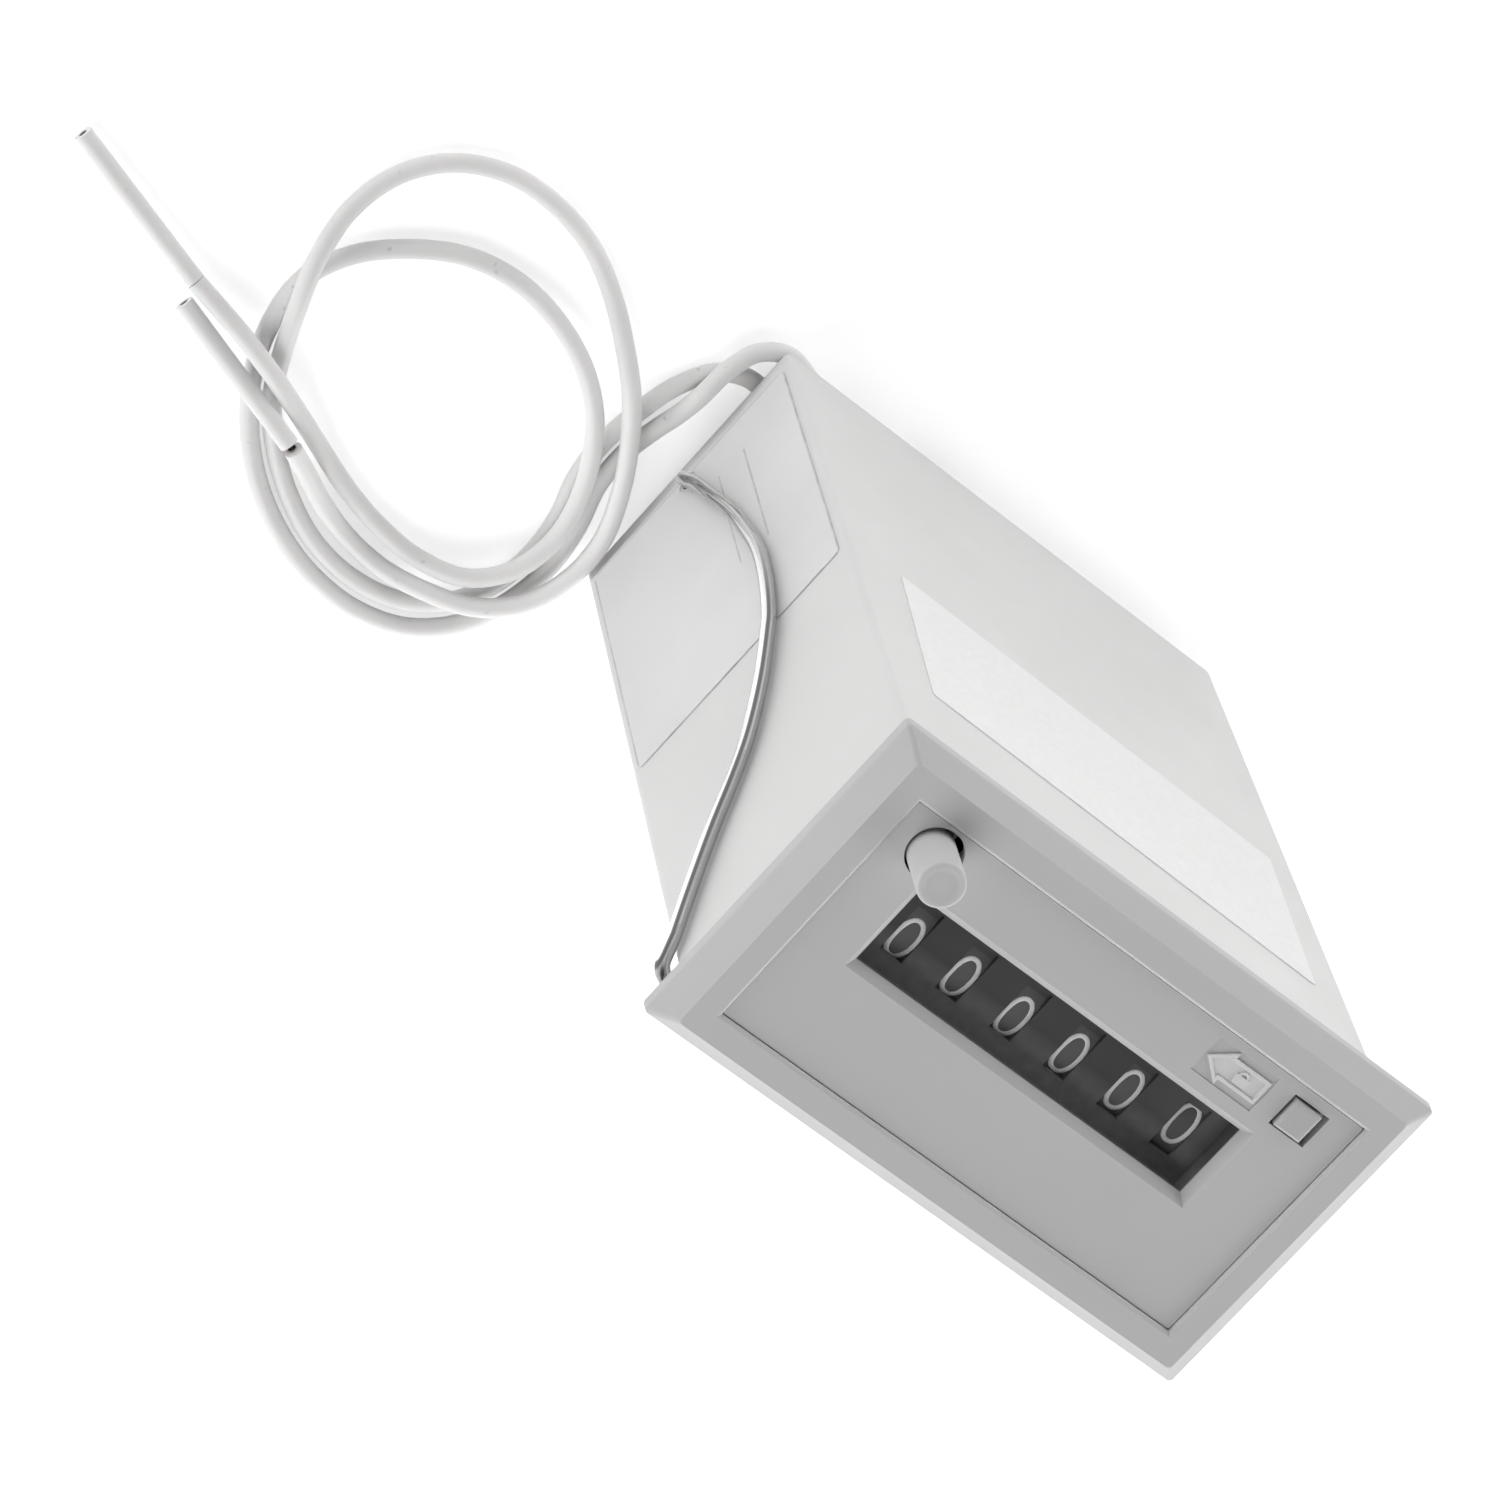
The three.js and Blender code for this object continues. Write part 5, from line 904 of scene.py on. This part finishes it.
# %% Padlock sign
sign_x, sign_floor = plate_x + 0.84, arrow_top - 0.2
sign_y = (slot_y - 0.72, slot_y + 0.22)
padlock = block("padlock", around(sign_x, 0.75), sign_y, (sign_floor, arrow_top))
soften(padlock, 0.05)
select_only()
bpy.ops.mesh.primitive_torus_add(
    location=(MM * sign_x, MM * (slot_y + 0.24), MM * (sign_floor + 0.08)),
    major_radius=0.42 * MM,
    minor_radius=0.12 * MM,
    major_segments=24,
    minor_segments=8,
)
shackle = settle("shackle")
edit(shackle)
pick(shackle, "VERT", lambda corner: corner.co.y < MM * (slot_y + 0.1))
bpy.ops.mesh.delete(type="VERT")
pick(shackle, "EDGE", lambda edge: edge.is_boundary)
bpy.ops.mesh.edge_face_add()
leave()
bpy.ops.object.shade_smooth_by_angle(angle=bar_turn)
select_only(arrow, padlock, shackle)
bpy.ops.object.join()
finish(arrow, raised_plastic_painted_highlight, "housing", "grey_plastic")

# %% [markdown]
# ## The reset button
#
# The button is a slim rod that stands well out of the panel, with a rounded rim and a shallow dish
# for the fingertip. Two ears under the frame keep it in, and a thinner stem reaches down to the
# reset comb. Three simple solids are united, after the rod's top has been inset and pushed in.

# %% Reset button
button_tip, ear_top = 101.1, 91.8
button_radius, dish_depth = 2.25, 0.14


def at_tip(item):
    return middle(item).z > button_tip - 0.01


button = cylinder("button", button_radius, button_x, button_y, (ear_top - 0.9, button_tip))
round_edges(button, at_tip, 0.3, 4)
edit(button)
pick(button, "FACE", lambda face: face.normal.z > 0.99 and at_tip(face))
for dish_step in (0.25, 0.45):
    bpy.ops.mesh.inset(thickness=dish_step * MM)
bpy.ops.transform.translate(value=(0, 0, -dish_depth * MM))
leave()
ears = block("ears", around(button_x, 2.1), around(button_y, 2.9), (90.0, ear_top))
stem = cylinder("stem", 1.4, button_x, button_y, (79.4, 90.5), 32)
for part in (ears, stem):
    carve(button, part, "UNION")
soften(button, 0.06, 50)
finish(button, button_plastic, "button", "white_plastic", "reset_button")

# %% [markdown]
# ## The reset spring
#
# A coil of steel wire round the stem pushes the button out again. Its middle line is a helix whose
# first and last turns lie close, as on a ground spring, swept with a round section. When the button
# goes down the spring has to shorten; here the coil is one fixed mesh.

# %% Reset spring
helix_radius, helix_wire, helix_turns, turn_steps = 1.95, 0.22, 6, 18
helix_foot, helix_top = 82.1, 89.9
closed_rise = 2 * helix_wire + 0.04
open_rise = (helix_top - helix_foot - 2 * helix_wire - 2 * closed_rise) / (helix_turns - 2)
helix = []
for step in range(turn_steps * helix_turns + 1):
    turn = step / turn_steps
    open_turns = min(max(turn - 1, 0), helix_turns - 2)
    x = button_x + helix_radius * math.cos(math.tau * turn)
    y = button_y + helix_radius * math.sin(math.tau * turn)
    z = helix_foot + helix_wire + closed_rise * (turn - open_turns) + open_rise * open_turns
    helix.append(Vector((x, y, z)) * MM)
coil = one_mesh("reset_coil", round_bar("reset_coil", helix, helix_wire * MM, 2))
bpy.ops.object.shade_smooth_by_angle(angle=bar_turn)
coil.data.materials.append(spring_steel)
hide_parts("reset_spring")
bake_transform(coil)
report(coil)

# %% [markdown]
# ## The lock slider
#
# Only a small square knob shows in its slot. It stands on a flat bar that runs behind the panel to
# the button: pushed to the left, the bar blocks the button's ears. The bar is one block whose right
# end is marked off by a bisection and drawn wider, and the knob is united with it.

# %% Lock slider
knob_left, knob_right = 19.945, 23.045
knob_middle = (knob_left + knob_right) / 2
bar_half, base_half = 1.2, 2.0
base_left, base_right = around(knob_middle, 3.1)
slider = block("slider", (-19.75, base_right), around(slot_y, bar_half), (92.8, 93.8))
edit(slider)
pick_all()
bpy.ops.mesh.bisect(plane_co=(MM * base_left, 0, 0), plane_no=(1, 0, 0))
for side in (-1, 1):
    pick(slider, "FACE", lambda face: face.normal.y * side > 0.9 and middle(face).x > base_left)
    push(0, side * (base_half - bar_half), 0)
leave()
knob_top = 95.8
knob = block("knob", (knob_left, knob_right), around(slot_y, 1.6), (93.3, knob_top))
round_edges(knob, lambda edge: middle(edge).z > knob_top - 0.1, 0.28, 1)
carve(slider, knob, "UNION")
soften(slider, 0.06)
finish(slider, slider_plastic, "lock", "white_plastic", "lock_slider")

# %% [markdown]
# ## The mounting bail
#
# A bow of spring wire clips the counter into its panel. It is hooked into the case near the rear,
# runs forward along both sides in a shallow S and crosses under the case. Its middle line is a list
# of points on the left arm, whose hook and corner are short arcs, and its mirror image on the right.

# %% Middle line of the bail
bow_shares = [
    (0, 0.014), (0.075, 0.043), (0.16, 0.108), (0.263, 0.188), (0.341, 0.277),
    (0.389, 0.355), (0.385, 0.437), (0.335, 0.527), (0.293, 0.56), (0.156, 0.647),
    (-0.03, 0.73), (-0.191, 0.778), (-0.395, 0.83), (-0.676, 0.913), (-0.83, 0.962),
]
bow_width, bow_reach, hook_x = 16.7, 79.3, 26.3
hook_round, corner_round, arc_steps = 0.95, 2.0, 8


def turn_corner(points, corner, towards, radius):
    """Adds a short arc round a corner to a line of points."""
    back = (points[-1] - corner).normalized() * radius
    ahead = (towards - corner).normalized() * radius
    for step in range(arc_steps + 1):
        t = step / arc_steps
        points.append(corner + back * (1 - t) ** 2 + ahead * t**2)


def bow_point(x, across, forward):
    return Vector((x, hinge_y + across * bow_width, hinge_z + forward * bow_reach))


arm = smooth_line([bow_point(-bail_arm_x, *shares) for shares in bow_shares], 4)[3:]
half = [bow_point(-hook_x, 0, 0)]
turn_corner(half, bow_point(-bail_arm_x, 0, 0), arm[0], hook_round)
half += arm
turn_corner(half, bow_point(-bail_arm_x, -1, 1), bow_point(0, -1, 1), corner_round)
whole = half + [Vector((-p.x, p.y, p.z)) for p in reversed(half)]
print("bail's wire:", round(reach(whole), 1), "mm long")

# %% Bail wire
bail_line = [point * MM for point in whole]
bail = one_mesh("bail", round_bar("bail", bail_line, MM * bail_wire, 4))
bpy.ops.object.shade_smooth_by_angle(angle=bar_turn)
finish(bail, bail_steel, "bail", "bright_steel", "mounting_bail")

# %% [markdown]
# ## The labels
#
# The left side carries a label of pale film with a printed border and a few ruled lines, and the top
# a sheet of white paper, stuck on slightly askew. Both are thin plates with rounded corners. The
# border and the rules are drawn by the material, as rectangles on Object coordinates, because print
# has no thickness worth modelling.

# %% Printed film
film_middle, film_half = 26.6, (14.4, 21.3)
border_y, border_z = 0.18, 0.2
film_rules = [(7.25, 22.0, 0.12, 10.1), (3.5, 14.9, 0.1, 3.0), (3.3, 26.6, 0.1, 5.0)]


def printed_film():
    """Film with a border and ruled lines, each a rectangle (middle y, middle z, half sizes)."""
    made = Finish("printed_film", Metallic=0.0, IOR=1.5, Specular_IOR_Level=0.45)
    axes = made.axes()

    def rectangle(y, z, half_y, half_z):
        inside_y = made.math("COMPARE", axes["Y"], MM * y, MM * half_y)
        inside_z = made.math("COMPARE", axes["Z"], MM * z, MM * half_z)
        return made.math("MULTIPLY", inside_y, inside_z)

    half_y, half_z = film_half
    sheet = rectangle(0, film_middle, half_y, half_z)
    within = rectangle(0, film_middle, half_y - border_y, half_z - border_z)
    print_mask = made.math("SUBTRACT", sheet, within)
    for rule in film_rules:
        print_mask = made.math("MAXIMUM", print_mask, rectangle(*rule))
    worn = made.between(made.noise(500.0, 3.0), 0.22, 0.48, 0.35, 0.6)
    body = made.tint(made.noise(60.0, 3.0), grey(0.69), grey(0.735))
    made.rough(220.0, 0.30, 0.42)
    made.bump(made.noise(400.0), 0.2, 0.01)
    return made.colour(made.mix(made.math("MULTIPLY", print_mask, worn), body, grey(0.20)))


film_y, film_z = around(0, film_half[0]), around(film_middle, film_half[1])
side_label = block("side_label_film", (-29.12, -29.0), film_y, film_z)
round_edges(side_label, lambda edge: abs(middle(edge).x + 29.06) < 0.01, 0.8, 4)
carve(side_label, cylinder("label_punch", 1.2, (-30, -28), hinge_y, hinge_z, 32))
soften(side_label, 0.03, 60)
finish(side_label, printed_film(), "housing", "film_label", "side_label")


# %% Paper
def plain_paper():
    made = Finish("plain_paper", Metallic=0.0, IOR=1.45, Specular_IOR_Level=0.2)
    fibres = made.noise(1500.0, 4.0)
    made.rough(400.0, 0.66, 0.80)
    made.bump(fibres, 0.25, 0.01)
    return made.colour(made.tint(fibres, grey(0.835, 0.002), grey(0.875, 0.002)))


top_label = block("top_label_paper", (-23.7, 23.7), (-0.06, 0.06), (-13.4, 13.4))
round_edges(top_label, lambda edge: abs(middle(edge).y) < 0.01, 0.4, 3)
paper_place, paper_askew = (1, 15.56, 60.6), math.radians(-2.3)
top_label.location = [MM * place for place in paper_place]
top_label.rotation_euler = (0, paper_askew, 0)
select_only(top_label)
settle("top_label_paper")
soften(top_label, 0.03, 60)
finish(top_label, plain_paper(), "housing", "paper_label", "top_label")

# %% [markdown]
# ## The number bands
#
# Each wheel carries the ten digits on its rim, printed in a thin pale line on black. A font would
# give heavier forms with ends of its own, so every digit is drawn as one or two open or closed
# lines in its own flat box, 2.2 mm wide and 4.2 mm tall. The lines become thin round bars, which are
# then wrapped round the wheel: across stays across, up becomes an angle, and the bar's thickness is
# pressed almost flat. A set of ten is made once and copied to the six wheels.

# %% Digit lines
def oval(x, y, half_x, half_y, first=0, last=360, power=2.3):
    """Points on a slightly squared oval between two angles in degrees."""
    count = max(4, round(abs(last - first) / 10))
    points = []
    for step in range(count + 1):
        turn = math.radians(first + (last - first) * step / count)
        c, s = math.cos(turn), math.sin(turn)
        swell = (abs(c) ** power + abs(s) ** power) ** (-1 / power)
        points.append((x + half_x * c * swell, y + half_y * s * swell))
    return points


digit_lines = [
    [oval(0, 0, 1.1, 2.1)],
    [[(-0.75, 1.3), (0.05, 2.1), (0.05, -2.1)]],
    [oval(0, 1.05, 1.05, 1.05, 165, -35) + [(-1.05, -2.1), (1.1, -2.1)]],
    [oval(0, 1.05, 0.95, 1.05, 150, -80), oval(0, -1.0, 1.1, 1.1, 80, -150)],
    [[(1.15, -0.9), (-1.15, -0.9), (0.5, 2.1), (0.5, -2.1)]],
    [[(1.0, 2.1), (-0.8, 2.1), (-0.95, 0.25)] + oval(0, -0.75, 1.1, 1.35, 125, -150)],
    [oval(0, -0.85, 1.1, 1.25), [(-1.08, -0.8), (-0.95, 0.35), (-0.35, 1.45), (0.55, 2.1)]],
    [[(-1.1, 2.1), (1.1, 2.1), (-0.35, -2.1)]],
    [oval(0, 1.1, 0.9, 1.0), oval(0, -1.0, 1.1, 1.1)],
    [oval(0, 0.85, 1.1, 1.25), [(1.08, 0.8), (0.95, -0.35), (0.35, -1.45), (-0.55, -2.1)]],
]
print("lines in the digits:", [len(lines) for lines in digit_lines])

# %% The set of ten, flat
ink_half, strip_radius = 0.25, 10.53
strokes = []
for digit, lines in enumerate(digit_lines):
    height = strip_radius * math.radians(36 * digit)
    for part, line in enumerate(lines):
        closed = (Vector(line[0]) - Vector(line[-1])).length < 0.01
        points = [Vector((x, y + height, 0)) * MM for x, y in (line[:-1] if closed else line)]
        strokes.append(round_bar(f"stroke_{digit}_{part}", points, ink_half * MM, 2, closed))
digit_strip = one_mesh("digit_strip", *strokes)
flat_strip = [corner.co.copy() for corner in digit_strip.data.vertices]
print("flat strip:", len(flat_strip), "corners")


# %% Ink
def white_ink():
    made = Finish("white_ink", Metallic=0.0, IOR=1.45, Specular_IOR_Level=0.3)
    worn = made.noise(1600.0, 3.0)
    made.rough(500.0, 0.5, 0.65)
    made.bump(worn, 0.3, 0.006)
    return made.colour(made.tint(worn, grey(0.84), grey(0.93), 0.25, 0.6))


ink = white_ink()

# %% Wrap a band round each wheel
wheel_turns = {
    "hundred_thousands": -3.2, "ten_thousands": -2.2, "thousands": -2.8,
    "hundreds": -1.5, "tens": 0.0, "units": 3.4,
}
axle_y, axle_z, wheel_sides = 1.6, 80.7, 96
row_left, wheel_pitch, drum_width = -20.3 + 0.68, 6.5333, 4.9033
ink_lift, ink_press = 0.008, 0.14
wheel_middles = [row_left + wheel_pitch * index + drum_width / 2 for index in range(6)]


def wrapped_digits(centre, degrees):
    """A copy of the flat set of ten, wrapped round a wheel that is turned by some degrees."""
    digits = digit_strip.copy()
    digits.data = digit_strip.data.copy()
    bpy.context.scene.collection.objects.link(digits)
    for corner, flat in zip(digits.data.vertices, flat_strip):
        turn = math.radians(degrees) + flat.y / (MM * strip_radius)
        radius = MM * (strip_radius + ink_lift) + ink_press * flat.z
        up, out = radius * math.sin(turn), radius * math.cos(turn)
        corner.co = (MM * centre + flat.x, MM * axle_y + up, MM * axle_z + out)
    for face in digits.data.polygons:
        face.use_smooth = True
    return digits


for (wheel, degrees), centre in zip(wheel_turns.items(), wheel_middles):
    ring_x = around(centre, drum_width / 2 + 0.01)
    ring = cylinder(f"band_{wheel}", strip_radius, ring_x, axle_y, axle_z, wheel_sides)
    bore(ring, 0.5)
    soften(ring, 0.12, 60)
    digits = wrapped_digits(centre, degrees)
    for piece in (ring, digits):
        piece.data.materials.append(drum_plastic)
        piece.data.materials.append(ink)
    for face in digits.data.polygons:
        face.material_index = 1
    select_only(ring, digits)
    bpy.ops.object.join()
    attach(ring, wheel)
    report(ring)
bpy.data.objects.remove(digit_strip, do_unlink=True)

# %% [markdown]
# ## The mask over the wheels
#
# A black tray hangs behind the window. It hides the gaps between the wheels and all but one digit of
# each. A block is hollowed from above by a smaller block and from below by a cylinder a little larger
# than the wheels, so that its floor lies as close to the digits as it can without rubbing. Six
# openings are cut through that floor.

# %% Mask
mask_x, mask_y = (-21.265, 19.255), (-2.95, 6.47)
mask_foot, tray_floor, mask_wall = 90.9, 91.46, 0.2
mask = block("mask", mask_x, mask_y, (mask_foot, 93.9))
inside = [(low + mask_wall, high - mask_wall) for low, high in (mask_x, mask_y)]
carve(mask, block("tray_tool", *inside, (tray_floor, 95.0)))
carve(mask, cylinder("wheel_tool", strip_radius + 0.09, (-30, 30), axle_y, axle_z, wheel_sides))
opening_half, opening_y = 1.3, (-1.0, 4.85)
for centre in wheel_middles:
    carve(mask, block("opening_tool", around(centre, opening_half), opening_y, (91.0, 92.0)))
soften(mask, 0.05)
finish(mask, mask_plastic, "housing", "black_plastic", "window_mask")

# %% [markdown]
# ## The works
#
# What is left of the CAD model sits inside the case or behind the window. Its shapes are right as
# they are, so each of these nodes keeps its mesh and gets the finish of what it is made of.

# %% Finishes of the CAD nodes
node_finishes = {
    drum_plastic: [f"{wheel}_wheel" for wheel in wheel_turns],
    nylon: [
        *(f"transfer_pinion_{number}" for number in range(1, 6)),
        "ratchet_wheel", "pallet_lever", "reset_comb", "coil_bobbin", "left_spacer", "right_spacer",
    ],
    plated_sheet: ["chassis"],
    shaft_steel: ["wheel_shaft", "pinion_shaft", "hinge_pin"],
    spring_steel: ["return_spring"],
    soft_iron: ["magnet_yoke", "magnet_core", "armature"],
    terminal_brass: ["coil_terminal_1", "coil_terminal_2"],
    coil_wire: ["coil_winding"],
    cover_plastic: ["rear_cover", "lead_clamp"],
    screw_steel: ["cover_screw_1", "cover_screw_2"],
    lead_plastic: ["coil_tail_1", "coil_tail_2"],
}
bare = {name for name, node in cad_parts.items() if not node.hide_render}
for material, names in node_finishes.items():
    for name in names:
        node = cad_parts[name]
        node.data.materials.clear()
        node.data.materials.append(material)
        bare.discard(name)
print("nodes without a finish:", sorted(bare))

# %% [markdown]
# ## Floor and light
#
# The picture was taken on a white sweep inside a ring of large soft lamps, so the sides of the
# counter are lit more than the face that looks up at the lens. A pale floor and a sky that is
# bright round its rim and dim overhead give that light. Two wide lamps, one low on the right and
# one high behind the lower edge, make two slopes of the frame paler than the others; they are weak
# enough that no white side burns out. For the camera and for mirrored rays the floor glows a little
# and the sky is no brighter than white, so the ground reads as white and keeps a soft shadow. What
# is mirrored from overhead is dark, as the camera and the room above a light ring are. The polished
# wire's bright line and the dark line beside it are a painted reflection in its material.

# %% Floor
select_only()
floor_drop, floor_grey, floor_glow = 0.2 * MM, 0.86, 0.56
bpy.ops.mesh.primitive_plane_add(size=6, location=(0, 0, -floor_drop))
floor = settle("floor")
white_sweep = bpy.data.materials.new("white_sweep")
sweep = Tree(white_sweep)
sweep.nodes.clear()
matt = sweep.add("BsdfDiffuse", Color=(*grey(floor_grey), 1))
glow = sweep.add("Emission", Strength=sweep.math("MULTIPLY", sweep.looked_at(), floor_glow))
both = sweep.add("AddShader", matt.outputs[0], glow.outputs[0])
sweep.add("OutputMaterial", Surface=both.outputs[0])
floor.data.materials.append(white_sweep)
floor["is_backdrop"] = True

# %% Sky
world = bpy.data.worlds.new("soft_sky")
bpy.context.scene.world = world
sky = Tree(world)
height = sky.add("SeparateXYZ", sky.add("TexCoord").outputs["Generated"]).outputs["Z"]
rim_strength, falloff, overhead_dark = 3.9, 3.0, 0.9
depth = sky.math("MINIMUM", sky.math("SUBTRACT", 1.0, height), 1.0)
light = sky.math("MULTIPLY", sky.math("POWER", depth, falloff), rim_strength)
overhead = sky.between(height, 0.0, overhead_dark, 0.3, 0.8, "SMOOTHSTEP")
mirrored = sky.add("LightPath").outputs["Is Glossy Ray"]
dark_part = sky.math("MULTIPLY", overhead, mirrored)
eye = sky.looked_at()
seen_part = sky.math("MULTIPLY", sky.math("SUBTRACT", 1.0, dark_part), eye)
lit_part = sky.math("MULTIPLY", light, sky.math("SUBTRACT", 1.0, eye))
background = sky.nodes["Background"].inputs
sky.fill(background["Color"], (1, 1, 1, 1))
sky.fill(background["Strength"], sky.math("ADD", seen_part, lit_part))


# %% Lamps
def sun(name, towards, strength, softness):
    """A soft lamp that shines from a direction."""
    data = bpy.data.lights.new(name, "SUN")
    data.energy = strength
    data.angle = math.radians(softness)
    lamp = bpy.data.objects.new(name, data)
    lamp.matrix_world = Vector(towards).to_track_quat("Z", "Y").to_matrix().to_4x4()
    bpy.context.scene.collection.objects.link(lamp)


sun("low_right", (0.96, 0.0, 0.28), 0.9, 40)
sun("high_behind", (0.0, -0.64, 0.77), 1.3, 40)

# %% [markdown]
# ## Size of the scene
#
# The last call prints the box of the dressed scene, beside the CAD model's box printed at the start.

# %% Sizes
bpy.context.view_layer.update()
print("scene box in mm:", in_mm(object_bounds()))
